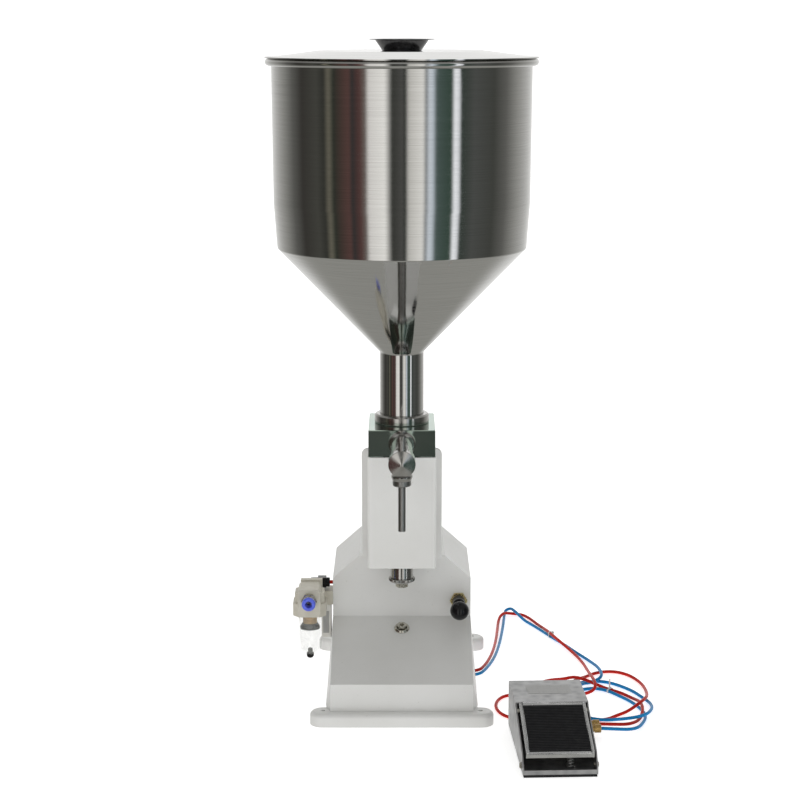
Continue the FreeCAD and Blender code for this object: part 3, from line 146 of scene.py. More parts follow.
def make_room():
    """The room as the metal mirrors it: tall windows and dark furniture, a grey floor and a
    grey ceiling. The camera itself sees plain white."""
    world = bpy.data.worlds.new("room")
    bpy.context.scene.world = world
    world.use_nodes = True
    tree = world.node_tree
    tree.nodes.clear()

    def add(kind, **settings):
        node = tree.nodes.new(kind)
        for name, setting in settings.items():
            setattr(node, name, setting)
        return node

    def link(start, end):
        tree.links.new(start, end)

    def calculate(operation, first, second=None):
        node = add("ShaderNodeMath", operation=operation)
        for socket, source in zip(node.inputs, (first, second)):
            if isinstance(source, (int, float)):
                socket.default_value = source
            elif source is not None:
                link(source, socket)
        return node.outputs[0]

    def ramp(factor, stops):
        node = add("ShaderNodeValToRGB")
        elements = node.color_ramp.elements
        while len(elements) < len(stops):
            elements.new(1)
        for element, (place, colour) in zip(elements, stops):
            element.position = place
            element.color = (*colour, 1)
        link(factor, node.inputs[0])
        return node.outputs[0]

    def mix(factor, low, high):
        node = add("ShaderNodeMix", data_type="RGBA")
        link(factor, node.inputs["Factor"])
        for socket, source in zip((node.inputs[6], node.inputs[7]), (low, high)):
            if isinstance(source, tuple):
                socket.default_value = (*source, 1)
            else:
                link(source, socket)
        return node.outputs[2]

    split = add("ShaderNodeSeparateXYZ")
    link(add("ShaderNodeTexCoord").outputs["Generated"], split.inputs[0])
    ahead = calculate("MULTIPLY", split.outputs[1], -1)
    turn = calculate("ARCTAN2", split.outputs[0], ahead)
    share = calculate("MULTIPLY_ADD", turn, 0.5 / math.pi)
    share.node.inputs[2].default_value = 0.5
    walls = ramp(share, [((degrees + 180) / 360, colour) for degrees, colour in ROOM])
    rise = split.outputs[2]
    floor_share = add("ShaderNodeMapRange", interpolation_type="SMOOTHSTEP")
    link(rise, floor_share.inputs["Value"])
    floor_share.inputs["From Min"].default_value = -0.42
    floor_share.inputs["From Max"].default_value = -0.72
    with_floor = mix(floor_share.outputs[0], walls, (0.37, 0.37, 0.345))
    ceiling_share = add("ShaderNodeMapRange", interpolation_type="SMOOTHSTEP")
    link(rise, ceiling_share.inputs["Value"])
    ceiling_share.inputs["From Min"].default_value = 0.25
    ceiling_share.inputs["From Max"].default_value = 0.75
    whole = mix(ceiling_share.outputs[0], with_floor, (0.34, 0.34, 0.33))
    seen = add("ShaderNodeLightPath").outputs["Is Camera Ray"]
    background = add("ShaderNodeBackground")
    link(mix(seen, whole, (1.0, 1.0, 1.0)), background.inputs["Color"])
    link(background.outputs[0], add("ShaderNodeOutputWorld").inputs[0])


def make_floor():
    """Wide pale floor that curves up behind the object."""
    mesh = bpy.data.meshes.new("floor")
    half, depth, back = 6.0, -5.0, 3.0
    profile = [(depth, 0.0), (back, 0.0)]
    radius = 1.2
    for step in range(1, 13):
        angle = math.radians(90 * step / 12)
        profile.append((back + radius * math.sin(angle), radius * (1 - math.cos(angle))))
    profile.append((back + radius, 4.0))
    vertices = [(x, y, z - 0.0002) for y, z in profile for x in (-half, half)]
    faces = [(2 * i, 2 * i + 1, 2 * i + 3, 2 * i + 2) for i in range(len(profile) - 1)]
    mesh.from_pydata(vertices, [], faces)
    mesh.polygons.foreach_set("use_smooth", [True] * len(faces))
    floor = bpy.data.objects.new("floor", mesh)
    bpy.context.collection.objects.link(floor)
    mesh.materials.append(floor_paper())
    floor.visible_glossy = False


# ---------------------------------------------------------------- material helpers

class Surface:
    """One Principled material and short calls for its procedural detail."""

    def __init__(self, name, colour, roughness, metallic=0.0, **constants):
        self.material = bpy.data.materials.new(name)
        self.material.use_nodes = True
        self.material.diffuse_color = (*colour, 1)
        self.tree = self.material.node_tree
        self.shader = self.tree.nodes["Principled BSDF"]
        self.shader.inputs["Base Color"].default_value = (*colour, 1)
        self.shader.inputs["Roughness"].default_value = roughness
        self.shader.inputs["Metallic"].default_value = metallic
        for socket, number in constants.items():
            self.shader.inputs[socket.replace("_", " ")].default_value = number
        self.place = self.tree.nodes.new("ShaderNodeTexCoord").outputs["Object"]
        self.bumps = []

    def link(self, start, end):
        self.tree.links.new(start, end)

    def stretched(self, scale):
        """The piece's own coordinates, stretched."""
        mapping = self.tree.nodes.new("ShaderNodeMapping")
        mapping.inputs["Scale"].default_value = scale
        self.link(self.place, mapping.inputs["Vector"])
        return mapping.outputs[0]

    def noise(self, scale, detail=3.0, roughness=0.5, stretch=(1, 1, 1), distortion=0.0):
        texture = self.tree.nodes.new("ShaderNodeTexNoise")
        texture.inputs["Scale"].default_value = scale
        texture.inputs["Detail"].default_value = detail
        texture.inputs["Roughness"].default_value = roughness
        texture.inputs["Distortion"].default_value = distortion
        self.link(self.stretched(stretch), texture.inputs["Vector"])
        return texture.outputs["Fac"]

    def spots(self, scale, stretch=(1, 1, 1)):
        texture = self.tree.nodes.new("ShaderNodeTexVoronoi")
        texture.inputs["Scale"].default_value = scale
        self.link(self.stretched(stretch), texture.inputs["Vector"])
        return texture.outputs["Distance"]

    def waves(self, scale, direction, distortion=0.0):
        texture = self.tree.nodes.new("ShaderNodeTexWave")
        texture.bands_direction = direction
        texture.inputs["Scale"].default_value = scale
        texture.inputs["Distortion"].default_value = distortion
        self.link(self.place, texture.inputs["Vector"])
        return texture.outputs["Fac"]

    def levels(self, factor, low, high, from_low=0.3, from_high=0.7):
        """A number from low to high as the factor goes over its range."""
        node = self.tree.nodes.new("ShaderNodeMapRange")
        self.link(factor, node.inputs["Value"])
        for name, number in (("From Min", from_low), ("From Max", from_high),
                             ("To Min", low), ("To Max", high)):
            node.inputs[name].default_value = number
        return node.outputs[0]

    def colours(self, factor, *stops):
        """A colour ramp of (place, colour) stops."""
        node = self.tree.nodes.new("ShaderNodeValToRGB")
        elements = node.color_ramp.elements
        while len(elements) < len(stops):
            elements.new(1)
        for element, (place, colour) in zip(elements, stops):
            element.position = place
            element.color = (*colour, 1)
        self.link(factor, node.inputs[0])
        return node.outputs[0]

    def mixed(self, factor, low, high):
        node = self.tree.nodes.new("ShaderNodeMix")
        node.data_type = "RGBA"
        self.link(factor, node.inputs["Factor"])
        for socket, source in zip((node.inputs[6], node.inputs[7]), (low, high)):
            if isinstance(source, tuple):
                socket.default_value = (*source, 1)
            else:
                self.link(source, socket)
        return node.outputs[2]

    def set_colour(self, source):
        self.link(source, self.shader.inputs["Base Color"])

    def set_roughness(self, source):
        self.link(source, self.shader.inputs["Roughness"])

    def bump(self, height, distance, strength=1.0):
        """Adds a layer of relief, in metres."""
        node = self.tree.nodes.new("ShaderNodeBump")
        node.inputs["Strength"].default_value = strength
        node.inputs["Distance"].default_value = distance
        self.link(height, node.inputs["Height"])
        if self.bumps:
            self.link(self.bumps[-1].outputs[0], node.inputs["Normal"])
        self.bumps.append(node)
        self.link(node.outputs[0], self.shader.inputs["Normal"])

    def brushed_round(self, amount):
        """Anisotropic highlight along circles about Z."""
        tangent = self.tree.nodes.new("ShaderNodeTangent")
        tangent.direction_type = "RADIAL"
        tangent.axis = "Z"
        self.shader.inputs["Anisotropic"].default_value = amount
        self.link(tangent.outputs[0], self.shader.inputs["Tangent"])


def shade(colour, share):
    """The colour, lighter or darker by a share."""
    return tuple(min(1.0, part * share) for part in colour)


# ---------------------------------------------------------------- materials

def floor_paper():
    """Matt white paper."""
    surface = Surface("floor_paper", (0.93, 0.93, 0.93), 0.9, Emission_Strength=0.65)
    surface.shader.inputs["Emission Color"].default_value = (1, 1, 1, 1)
    surface.set_colour(surface.colours(surface.noise(3), (0.3, (0.92, 0.92, 0.92)),
                                       (0.7, (0.94, 0.94, 0.94))))
    return surface.material


def white_paint():
    """Thick satin enamel over a casting: slight orange peel, faint unevenness and grime."""
    surface = Surface("white_paint", (0.80, 0.80, 0.785), 0.34, Coat_Weight=0.25,
                      Coat_Roughness=0.12)
    broad = surface.noise(7, 4, 0.6)
    clean = surface.colours(broad, (0.30, (0.765, 0.765, 0.745)), (0.55, (0.805, 0.805, 0.79)),
                            (0.75, (0.83, 0.83, 0.82)))
    specks = surface.levels(surface.noise(420, 2), 0, 0.5, 0.70, 0.78)
    surface.set_colour(surface.mixed(specks, clean, (0.55, 0.54, 0.50)))
    surface.set_roughness(surface.levels(surface.noise(40, 4), 0.28, 0.44))
    surface.bump(surface.noise(620, 2), 0.00012, 0.35)
    surface.bump(surface.noise(26, 3), 0.0010, 0.18)
    return surface.material


def hopper_steel():
    """Polished sheet, finely brushed round the axis, with faint ripples from spinning."""
    surface = Surface("hopper_steel", (0.60, 0.595, 0.585), 0.06, 1.0)
    surface.brushed_round(0.15)
    lines = surface.noise(1.0, 4, 0.7, (10, 10, 2600))
    coarse = surface.noise(1.0, 3, 0.6, (6, 6, 700))
    surface.set_colour(surface.colours(lines, (0.25, (0.50, 0.495, 0.485)),
                                       (0.5, (0.60, 0.595, 0.585)), (0.8, (0.68, 0.675, 0.665))))
    surface.set_roughness(surface.levels(coarse, 0.04, 0.10))
    surface.bump(lines, 0.00004, 0.16)
    surface.bump(surface.noise(6, 2, 0.5, (1, 1, 0.25)), 0.0016, 0.10)
    return surface.material


def knob_steel_with_painted_reflection():
    """Thick chrome on the lid's knob. Its base colour is darkened all over as a painted reflection of
    the dark room, so it shows nearly black.
    """
    surface = Surface("knob_steel_with_painted_reflection", (0.30, 0.30, 0.31), 0.12, 1.0)
    # painted reflection: the knob's colour is kept dark to stand in for the dark room it mirrors
    surface.set_colour(surface.colours(surface.noise(80, 3), (0.3, (0.22, 0.22, 0.23)),
                                       (0.7, (0.36, 0.36, 0.37))))
    surface.set_roughness(surface.levels(surface.noise(160), 0.08, 0.18))
    surface.bump(surface.noise(1.0, 3, 0.6, (700, 700, 700)), 0.00004, 0.25)
    return surface.material


def block_steel_with_painted_reflection():
    """Mirror polished block, tinted green-black all over in its base colour: a painted reflection of
    the dark green part of the room.
    """
    surface = Surface("block_steel_with_painted_reflection", (0.46, 0.56, 0.50), 0.06, 1.0)
    # painted reflection: the green in the steel's colour stands in for the green-black room it mirrors
    surface.set_colour(surface.colours(surface.noise(20), (0.3, (0.42, 0.53, 0.47)),
                                       (0.7, (0.50, 0.59, 0.53))))
    surface.set_roughness(surface.levels(surface.noise(1.0, 3, 0.6, (60, 900, 90)), 0.05, 0.12,
                                         0.35, 0.75))
    surface.bump(surface.noise(9, 2), 0.0008, 0.08)
    return surface.material


def polished_steel():
    """Mirror polish with a few fine scratches."""
    surface = Surface("polished_steel", (0.62, 0.62, 0.61), 0.05, 1.0)
    scratches = surface.noise(1.0, 3, 0.6, (60, 900, 90))
    surface.set_colour(surface.colours(surface.noise(20), (0.3, (0.59, 0.595, 0.585)),
                                       (0.7, (0.65, 0.65, 0.64))))
    surface.set_roughness(surface.levels(scratches, 0.04, 0.12, 0.35, 0.75))
    surface.bump(surface.noise(9, 2), 0.0008, 0.08)
    return surface.material


def turned_steel():
    """Machined stainless with fine tool rings and handling marks."""
    surface = Surface("turned_steel", (0.50, 0.49, 0.475), 0.15, 1.0)
    rings = surface.noise(1.0, 3, 0.6, (900, 1300, 1100))
    surface.set_colour(surface.colours(surface.noise(60, 4), (0.3, (0.43, 0.42, 0.405)),
                                       (0.7, (0.55, 0.54, 0.525))))
    surface.set_roughness(surface.levels(surface.noise(120, 4), 0.10, 0.22))
    surface.bump(rings, 0.00004, 0.3)
    return surface.material


def dark_steel():
    """Satin tube steel, darker than the turned pieces, drawn along its length."""
    surface = Surface("dark_steel", (0.36, 0.36, 0.355), 0.34, 1.0)
    drawn = surface.noise(1.0, 3, 0.6, (1500, 1500, 40))
    surface.set_colour(surface.colours(drawn, (0.3, (0.30, 0.30, 0.295)), (0.7, (0.42, 0.42, 0.41))))
    surface.set_roughness(surface.levels(surface.noise(90), 0.28, 0.42))
    surface.bump(drawn, 0.00004, 0.4)
    return surface.material


def zinc_screw():
    """Bright zinc plate with a faint warm cast."""
    surface = Surface("zinc_screw", (0.62, 0.60, 0.54), 0.24, 1.0)
    patches = surface.noise(260, 3)
    surface.set_colour(surface.colours(patches, (0.35, (0.50, 0.48, 0.42)), (0.6, (0.64, 0.62, 0.56)),
                                       (0.8, (0.70, 0.66, 0.54))))
    surface.set_roughness(surface.levels(surface.noise(500), 0.16, 0.34))
    surface.bump(surface.noise(1400, 2), 0.00005, 0.3)
    return surface.material


def yellow_zinc():
    """Yellow passivated zinc with a slight rainbow of green and gold."""
    surface = Surface("yellow_zinc", (0.66, 0.55, 0.28), 0.26, 1.0)
    surface.set_colour(surface.colours(surface.noise(180, 3), (0.3, (0.50, 0.46, 0.22)),
                                       (0.55, (0.68, 0.56, 0.28)), (0.8, (0.72, 0.52, 0.34))))
    surface.set_roughness(surface.levels(surface.noise(500), 0.18, 0.36))
    surface.bump(surface.noise(1400, 2), 0.00005, 0.3)
    return surface.material


def alloy():
    """Satin anodised aluminium."""
    surface = Surface("alloy", (0.66, 0.66, 0.64), 0.38, 1.0)
    surface.set_colour(surface.colours(surface.noise(1.0, 3, 0.6, (900, 60, 900)),
                                       (0.3, (0.60, 0.60, 0.585)), (0.7, (0.70, 0.70, 0.68))))
    surface.set_roughness(surface.levels(surface.noise(140), 0.32, 0.46))
    surface.bump(surface.noise(2200, 2), 0.00004, 0.5)
    return surface.material


def filter_alloy():
    """Lacquered die casting, warm grey, with a fine grain."""
    surface = Surface("filter_alloy", (0.66, 0.63, 0.54), 0.40, 0.15)
    surface.set_colour(surface.colours(surface.noise(90, 4), (0.3, (0.61, 0.58, 0.495)),
                                       (0.7, (0.70, 0.67, 0.58))))
    surface.set_roughness(surface.levels(surface.noise(240), 0.34, 0.52))
    surface.bump(surface.noise(1300, 2), 0.00008, 0.5)
    return surface.material


def valve_plastic():
    """Beige moulding with a fine spark-eroded texture."""
    surface = Surface("valve_plastic", (0.78, 0.77, 0.73), 0.48)
    surface.set_colour(surface.colours(surface.noise(50, 4), (0.3, (0.74, 0.73, 0.69)),
                                       (0.7, (0.82, 0.81, 0.77))))
    surface.set_roughness(surface.levels(surface.noise(180), 0.42, 0.56))
    surface.bump(surface.noise(1800, 2), 0.00006, 0.6)
    return surface.material


def black_plastic():
    """Glossy black phenolic with a little dust and a few dull marks."""
    surface = Surface("black_plastic", (0.006, 0.006, 0.007), 0.14, Specular_IOR_Level=0.4)
    dust = surface.levels(surface.noise(700, 2), 0, 0.08, 0.66, 0.80)
    surface.set_colour(surface.mixed(dust, (0.005, 0.005, 0.006), (0.12, 0.12, 0.11)))
    surface.set_roughness(surface.levels(surface.noise(90, 4), 0.08, 0.24))
    surface.bump(surface.noise(300, 2), 0.00006, 0.2)
    return surface.material


def blue_plastic():
    """Blue release ring of the air fitting."""
    surface = Surface("blue_plastic", (0.10, 0.15, 0.80), 0.3, Subsurface_Weight=0.05)
    surface.set_colour(surface.colours(surface.noise(220), (0.3, (0.08, 0.12, 0.70)),
                                       (0.7, (0.13, 0.19, 0.88))))
    surface.set_roughness(surface.levels(surface.noise(400), 0.24, 0.40))
    surface.bump(surface.noise(1500, 2), 0.00005, 0.4)
    return surface.material


def bowl_plastic():
    """Clear polycarbonate with a slight haze, thin enough to see straight through."""
    surface = Surface("bowl_plastic", (0.80, 0.81, 0.78), 0.10, IOR=1.5, Coat_Weight=0.6)
    surface.set_colour(surface.colours(surface.noise(60), (0.3, (0.76, 0.77, 0.74)),
                                       (0.7, (0.84, 0.85, 0.82))))
    surface.set_roughness(surface.levels(surface.noise(90, 4), 0.05, 0.20))
    surface.bump(surface.noise(240, 2), 0.0001, 0.15)
    haze = surface.levels(surface.noise(120, 3), 0.09, 0.16)
    surface.link(haze, surface.shader.inputs["Alpha"])
    return surface.material


def sintered_bronze():
    """Porous sintered bronze, bright and speckled."""
    surface = Surface("sintered_bronze", (0.72, 0.48, 0.20), 0.45, 0.55)
    grains = surface.spots(900)
    surface.set_colour(surface.colours(grains, (0.0, (0.86, 0.62, 0.30)), (0.45, (0.66, 0.42, 0.16)),
                                       (0.8, (0.25, 0.13, 0.04))))
    surface.set_roughness(surface.levels(surface.noise(500), 0.38, 0.60))
    surface.bump(grains, 0.0002, 0.8)
    return surface.material


def fitting_brass():
    """Turned brass, slightly tarnished."""
    surface = Surface("fitting_brass", (0.60, 0.40, 0.15), 0.28, 1.0)
    surface.set_colour(surface.colours(surface.noise(200, 4), (0.3, (0.45, 0.28, 0.10)),
                                       (0.7, (0.66, 0.45, 0.18))))
    surface.set_roughness(surface.levels(surface.noise(400), 0.20, 0.42))
    surface.bump(surface.noise(1.0, 3, 0.6, (2200, 200, 200)), 0.00006, 0.5)
    return surface.material


def seal_rubber():
    """Plain black rubber."""
    surface = Surface("seal_rubber", (0.022, 0.022, 0.022), 0.62)
    surface.set_colour(surface.colours(surface.noise(160), (0.3, (0.016, 0.016, 0.016)),
                                       (0.7, (0.034, 0.034, 0.033))))
    surface.set_roughness(surface.levels(surface.noise(300), 0.52, 0.74))
    surface.bump(surface.noise(1600, 2), 0.00006, 0.5)
    return surface.material


def pedal_rubber():
    """Black moulded rubber with worn, slightly grey high spots."""
    surface = Surface("pedal_rubber", (0.016, 0.016, 0.018), 0.55)
    worn = surface.levels(surface.noise(45, 5, 0.65), 0, 0.6, 0.55, 0.80)
    surface.set_colour(surface.mixed(worn, (0.006, 0.006, 0.008), (0.030, 0.029, 0.028)))
    surface.set_roughness(surface.levels(surface.noise(150), 0.44, 0.66))
    surface.bump(surface.noise(1300, 2), 0.00007, 0.6)
    return surface.material


def pedal_steel():
    """Galvanised sheet: soft grey with the faint crystals of the zinc."""
    surface = Surface("pedal_steel", (0.42, 0.42, 0.425), 0.36, 0.85)
    spangle = surface.spots(95, (1, 1, 1))
    surface.set_colour(surface.colours(spangle, (0.0, (0.34, 0.34, 0.35)), (0.45, (0.44, 0.44, 0.445)),
                                       (0.9, (0.50, 0.50, 0.50))))
    surface.set_roughness(surface.levels(surface.noise(70, 4), 0.28, 0.46))
    surface.bump(surface.noise(500, 3), 0.00008, 0.3)
    return surface.material


def tread_steel():
    """Bright plated sheet with rubbed edges."""
    surface = Surface("tread_steel", (0.80, 0.80, 0.81), 0.16, 1.0)
    surface.set_colour(surface.colours(surface.noise(45, 5), (0.3, (0.70, 0.70, 0.71)),
                                       (0.7, (0.86, 0.86, 0.87))))
    surface.set_roughness(surface.levels(surface.noise(120, 5, 0.7), 0.10, 0.34))
    surface.bump(surface.noise(160, 3), 0.0001, 0.3)
    return surface.material


def spring_steel():
    """Bright spring wire."""
    surface = Surface("spring_steel", (0.50, 0.50, 0.49), 0.26, 1.0)
    surface.set_colour(surface.colours(surface.noise(300, 3), (0.3, (0.40, 0.40, 0.39)),
                                       (0.7, (0.58, 0.58, 0.57))))
    surface.set_roughness(surface.levels(surface.noise(400), 0.20, 0.36))
    surface.bump(surface.noise(1500, 2), 0.00004, 0.4)
    return surface.material


def tube_plastic(name, colour, depth):
    """Polyurethane tube: glossy, slightly milky, a little uneven along its length."""
    surface = Surface(name, colour, 0.34, Specular_IOR_Level=0.12)
    surface.set_colour(surface.colours(surface.noise(55, 4), (0.3, shade(colour, 1 - depth)),
                                       (0.7, shade(colour, 1 + depth))))
    surface.set_roughness(surface.levels(surface.noise(200), 0.18, 0.34))
    surface.bump(surface.noise(900, 2), 0.00005, 0.3)
    return surface.material


def tie_nylon():
    """Milky nylon."""
    surface = Surface("tie_nylon", (0.70, 0.69, 0.66), 0.38, Subsurface_Weight=0.2)
    surface.set_colour(surface.colours(surface.noise(300), (0.3, (0.62, 0.61, 0.58)),
                                       (0.7, (0.76, 0.75, 0.72))))
    surface.set_roughness(surface.levels(surface.noise(500), 0.30, 0.46))
    surface.bump(surface.noise(1500, 2), 0.00005, 0.3)
    return surface.material


def label_foil():
    """Foil with faint lines and no letters, a little greyer than the sheet under it."""
    surface = Surface("label_foil", (0.40, 0.40, 0.395), 0.42)
    print_lines = surface.waves(55, "Y", 1.5)
    words = surface.levels(surface.noise(1.0, 2, 0.5, (420, 60, 60)), 0, 0.35, 0.52, 0.60)
    surface.set_colour(surface.mixed(words, (0.42, 0.42, 0.415), (0.34, 0.34, 0.335)))
    surface.set_roughness(surface.levels(print_lines, 0.38, 0.46))
    surface.bump(surface.noise(900, 2), 0.00003, 0.3)
    return surface.material


MATERIALS = {
    "label_foil": label_foil(),
    "knob_steel_with_painted_reflection": knob_steel_with_painted_reflection(),
    "block_steel_with_painted_reflection": block_steel_with_painted_reflection(),
    "white_paint": white_paint(),
    "hopper_steel": hopper_steel(),
    "polished_steel": polished_steel(),
    "turned_steel": turned_steel(),
    "dark_steel": dark_steel(),
    "zinc_screw": zinc_screw(),
    "yellow_zinc": yellow_zinc(),
    "alloy": alloy(),
    "filter_alloy": filter_alloy(),
    "valve_plastic": valve_plastic(),
    "black_plastic": black_plastic(),
    "blue_plastic": blue_plastic(),
    "bowl_plastic": bowl_plastic(),
    "sintered_bronze": sintered_bronze(),
    "fitting_brass": fitting_brass(),
    "seal_rubber": seal_rubber(),
    "pedal_steel": pedal_steel(),
    "tread_steel": tread_steel(),
    "pedal_rubber": pedal_rubber(),
    "spring_steel": spring_steel(),
    "red_tube": tube_plastic("red_tube", (0.56, 0.020, 0.012), 0.16),
    "blue_tube": tube_plastic("blue_tube", (0.012, 0.24, 0.56), 0.16),
    "tie_nylon": tie_nylon(),
}


# How far a CAD node's edges are softened, in millimetres. Nodes not named here stay as they are.
SOFT_EDGES = {
    "base_plate": 0.8, "body_housing": 1.6, "rear_cover": 0.4, "column": 1.2,
    "cylinder_cover": 0.6, "valve_block": 0.7, "hopper_collar": 0.5, "cylinder_heads": 0.5,
    "nozzle_body": 0.4, "nozzle_cap": 0.4, "nozzle_collar_nut": 0.25, "discharge_tube": 0.15,
    "front_cup_washer": 0.2, "front_screw": 0.2, "hand_valve_stem": 0.3, "filter_body": 0.7,
    "filter_manifold": 0.6, "pilot_valve_body": 0.7, "air_inlet_fitting": 0.3,
    "inlet_release_ring": 0.2, "adjuster_lock_nut": 0.3,
    "lid_knob": 0.5, "pedal_cover": 0.7, "pedal_base": 0.3, "pedal_sole": 0.5,
    "pedal_tread": 0.4, "pedal_pad": 0.25, "pedal_fittings": 0.2, "cover_screws": 0.2,
    "pedal_hinge_pin": 0.2, "filter_drain": 0.2, "hose_grommets": 0.2, "hose_ties": 0.2,
    "pedal_valve_body": 0.4,
}


# Two nodes whose steel colour differs from the rest of their slot by a painted reflection: the knob
# painted dark, the block painted green.
PAINTED_REFLECTION_STEELS = {"lid_knob": "knob_steel_with_painted_reflection", "valve_block": "block_steel_with_painted_reflection"}


def soften(piece, width):
    """Rounds a piece's sharp edges by this many millimetres."""
    for polygon in piece.data.polygons:
        polygon.use_smooth = True
    weld = piece.modifiers.new("weld", "WELD")
    weld.merge_threshold = 0.00001
    flat = piece.modifiers.new("flat", "DECIMATE")
    flat.decimate_type = "DISSOLVE"
    flat.angle_limit = math.radians(0.6)
    bevel = piece.modifiers.new("bevel", "BEVEL")
    bevel.width = width / MILLIMETRES
    bevel.segments = 3
    bevel.limit_method = "ANGLE"
    bevel.angle_limit = math.radians(26)
    normals = piece.modifiers.new("normals", "WEIGHTED_NORMAL")
    normals.keep_sharp = True


def paint_nodes():
    """Every CAD node takes the material of its slot, or a steel with a painted reflection, and some
    get softer edges.
    """
    for part in frame["record"]["subparts"]:
        node = NODES[part["node"]]
        node.data.materials.clear()
        node.data.materials.append(MATERIALS[part["material_slot"]])
    for name, material in PAINTED_REFLECTION_STEELS.items():
        NODES[name].data.materials[0] = MATERIALS[material]
    for name, width in SOFT_EDGES.items():
        soften(NODES[name], width)


# ---------------------------------------------------------------- pieces made as meshes

def finish_piece(name, mesh, body, slot, width, replaced=None, material=None):
    """Puts a mesh in the scene on its body, with its material and softened edges."""
    piece = bpy.data.objects.new(name, mesh)
    bpy.context.collection.objects.link(piece)
    mesh.materials.append(MATERIALS[material or slot])
    soften(piece, width)
    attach(piece, body)
    if replaced:
        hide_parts(replaced)


def solid_mesh(name, parts):
    """A mesh of closed parts, each a list of points and a list of faces, in millimetres."""
    mesh = bpy.data.meshes.new(name)
    vertices, faces = [], []
    for points, part_faces in parts:
        start = len(vertices)
        vertices += [Vector(point) / MILLIMETRES for point in points]
        faces += [[start + index for index in face] for face in part_faces]
    mesh.from_pydata(vertices, [], faces)
    work = bmesh.new()
    work.from_mesh(mesh)
    bmesh.ops.recalc_face_normals(work, faces=work.faces)
    work.to_mesh(mesh)
    work.free()
    return mesh


def lathe(outline, place, steps=72, wobble=None):
    """Points and faces of a closed (radius, height) outline turned about the place's own Z."""
    points, faces = [], []
    count = len(outline)
    for step in range(steps):
        angle = math.tau * step / steps
        for index, (radius, height) in enumerate(outline):
            if wobble:
                radius += wobble(step, index)
            points.append(place @ Vector((radius * math.cos(angle), radius * math.sin(angle), height)))
    for step in range(steps):
        following = (step + 1) % steps
        for index in range(count):
            after = (index + 1) % count
            faces.append([step * count + index, following * count + index,
                          following * count + after, step * count + after])
    return points, faces


def prism(outline, low, high, place):
    """Points and faces of a flat outline carried from low to high along the place's own Z."""
    count = len(outline)
    points = [place @ Vector((x, y, z)) for z in (low, high) for x, y in outline]
    faces = [list(range(count))[::-1], list(range(count, 2 * count))]
    faces += [[index, (index + 1) % count, count + (index + 1) % count, count + index]
              for index in range(count)]
    return points, faces


def box(low, high, place=Matrix()):
    """Points and faces of a box between two corners."""
    outline = [(low[0], low[1]), (high[0], low[1]), (high[0], high[1]), (low[0], high[1])]
    return prism(outline, low[2], high[2], place)


def at(x, y, z, turn=Matrix()):
    """A placement in millimetres."""
    return Matrix.Translation((x, y, z)) @ turn


FACING_FRONT = Matrix.Rotation(math.radians(90), 4, "X")
FACING_RIGHT = Matrix.Rotation(math.radians(90), 4, "Y")
PEDAL_TURN = math.radians(2.5)
TREAD_SLOPE = math.radians(19.2)
PEDAL = at(168, -111, 0, Matrix.Rotation(PEDAL_TURN, 4, "Z"))
TREAD = PEDAL @ at(0, -80, 47, Matrix.Rotation(TREAD_SLOPE, 4, "X"))


def hexagon(across_flats):
    """The corners of a hexagon."""
    corner = across_flats / math.sqrt(3)
    return [(corner * math.cos(math.radians(60 * step)), corner * math.sin(math.radians(60 * step)))
            for step in range(6)]


def make_hand_valve():
    """Black valve housing with its ribbed barrel, and the yellow nut on the panel."""
    mouth = at(70, 6.5, 119, FACING_FRONT)
    barrel = [(4.55, -5), (6, -5), (6, 4), (7.8, 4), (7.8, 6.5), (7.3, 7), (7.3, 9), (7.8, 9.5),
              (7.8, 12), (7.3, 12.5), (7.3, 14.5), (7.8, 15), (7.8, 20.5), (6.8, 21.5), (4.55, 21.5)]
    parts = [box((60, 10.5, 101), (80, 44.5, 137)), lathe(barrel, mouth)]
    finish_piece("valve_housing", solid_mesh("valve_housing", parts), "frame", "black_plastic", 0.25,
                 "hand_valve_body")
    nut = prism(hexagon(19), 0, 3.9, mouth)
    finish_piece("panel_nut", solid_mesh("panel_nut", [nut]), "frame", "yellow_zinc", 0.5,
                 "hand_valve_body")


def make_pilot_fitting():
    """Black elbow fitting on the pilot valve and the red signal tube it holds."""
    parts = [box((-112.3, 12, 141.5), (-103, 24, 143.5)), box((-103.6, 12, 133.4), (-93, 24, 146)),
             lathe([(0.5, 0), (5.8, 0), (5.8, 3.4), (5.2, 4.2), (0.5, 4.2)],
                   at(-93, 18, 139, FACING_RIGHT))]
    finish_piece("pilot_elbow", solid_mesh("pilot_elbow", parts), "frame", "black_plastic", 0.4,
                 "pilot_valve_fitting")
    tube = lathe([(0.5, 0), (2.3, 0), (2.3, 4), (0.5, 4)], at(-88.8, 18, 139, FACING_RIGHT), 32)
    finish_piece("signal_tube", solid_mesh("signal_tube", [tube]), "frame", "red_tube", 0.1,
                 "pilot_valve_fitting")


def make_labels():
    """Blank plates on the pedal's cover and on the pilot valve."""
    plate = box((-24, -47, 56), (27, -17, 56.15), PEDAL)
    finish_piece("pedal_label", solid_mesh("pedal_label", [plate]), "frame", "pedal_steel", 0.05,
                 material="label_foil")
    plate = box((-97, 3.86, 78), (-89.5, 4.0, 106))
    finish_piece("pilot_label", solid_mesh("pilot_label", [plate]), "frame", "pedal_steel", 0.05,
                 material="label_foil")


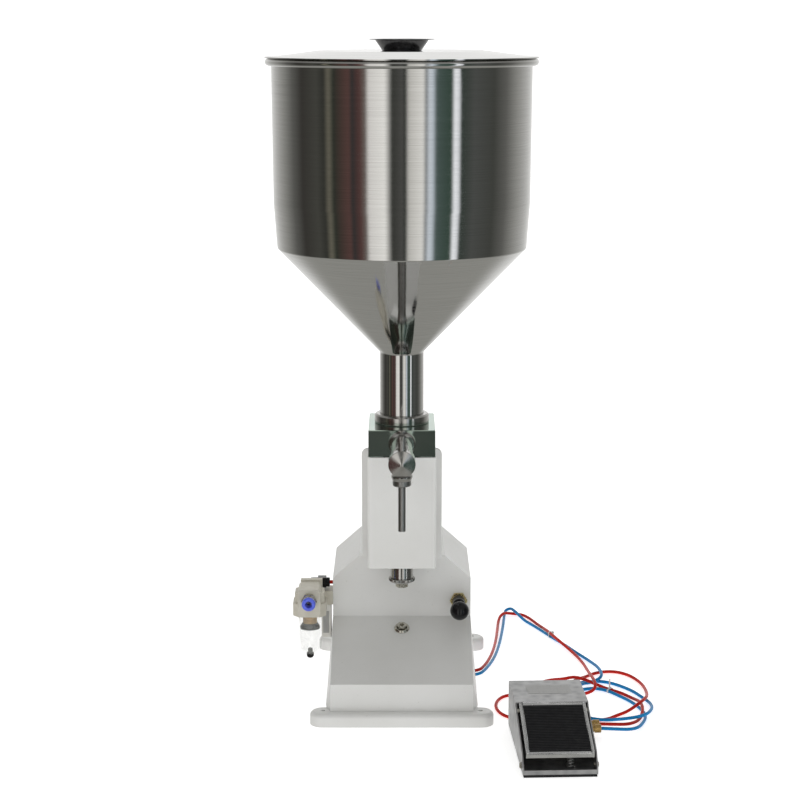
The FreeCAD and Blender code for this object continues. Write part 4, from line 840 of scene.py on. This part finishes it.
def make_tread_edging():
    """Bright rolled rail round the rubber pad, in the tread's own frame."""
    low, high = 7.3, 9.3
    left, right, front, back = -38, 38, -84, 4
    pad_left, pad_right, pad_front, pad_back = -34.4, 34.4, -81.9, -1.6
    plans = ((left, front, pad_left, back), (pad_right, front, right, back),
             (pad_left, front, pad_right, pad_front), (pad_left, pad_back, pad_right, back))
    rails = [box((x_low, y_low, low), (x_high, y_high, high), TREAD)
             for x_low, y_low, x_high, y_high in plans]
    finish_piece("tread_rail", solid_mesh("tread_rail", rails), "tread", "tread_steel", 0.8)


def make_adjuster():
    """Sleeve that sets the stroke, with a knurled rim on its flange."""
    knurl_depth = 0.5
    rim_corners = (3, 4)

    def knurl(step, index):
        return -knurl_depth if step % 2 and index in rim_corners else 0

    outline = [(4.1, 153), (12.7, 153), (15.3, 154.6), (15.9, 155.4), (15.9, 157.8), (15.3, 158.4),
               (12.7, 158.4), (12.7, 159.4), (13.6, 159.4), (13.6, 179.5), (4.1, 179.5)]
    sleeve = lathe(outline, at(0, -28, 0), 120, knurl)
    finish_piece("stroke_sleeve", solid_mesh("stroke_sleeve", [sleeve]), "adjuster", "turned_steel",
                 0.1, "stroke_adjuster")


# ---------------------------------------------------------------- hoses

def make_hose(name, node, route, slot):
    """A round tube on one smooth spline through the route."""
    data = bpy.data.curves.new(name, "CURVE")
    data.dimensions = "3D"
    data.resolution_u = 8
    data.bevel_depth = HOSE / 2
    data.bevel_resolution = 5
    data.use_fill_caps = True
    spline = data.splines.new("NURBS")
    spline.points.add(len(route) - 1)
    for point, (x, y, z) in zip(spline.points, route):
        point.co = (x / MILLIMETRES, y / MILLIMETRES, z / MILLIMETRES, 1)
    spline.order_u = 3
    spline.use_endpoint_u = True
    hose = bpy.data.objects.new(name, data)
    bpy.context.collection.objects.link(hose)
    data.materials.append(MATERIALS[slot])
    hose.visible_glossy = False
    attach(hose, "frame")
    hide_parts(node)


make_camera()
make_room()
make_lights()
make_floor()
paint_nodes()
make_hand_valve()
make_pilot_fitting()
make_labels()
make_tread_edging()
make_adjuster()
make_hose("red_air_hose", "red_hose", RED_ROUTE, "red_tube")
make_hose("blue_air_hose", "blue_hose", BLUE_ROUTE, "blue_tube")

bpy.context.scene.view_settings.view_transform = "Standard"
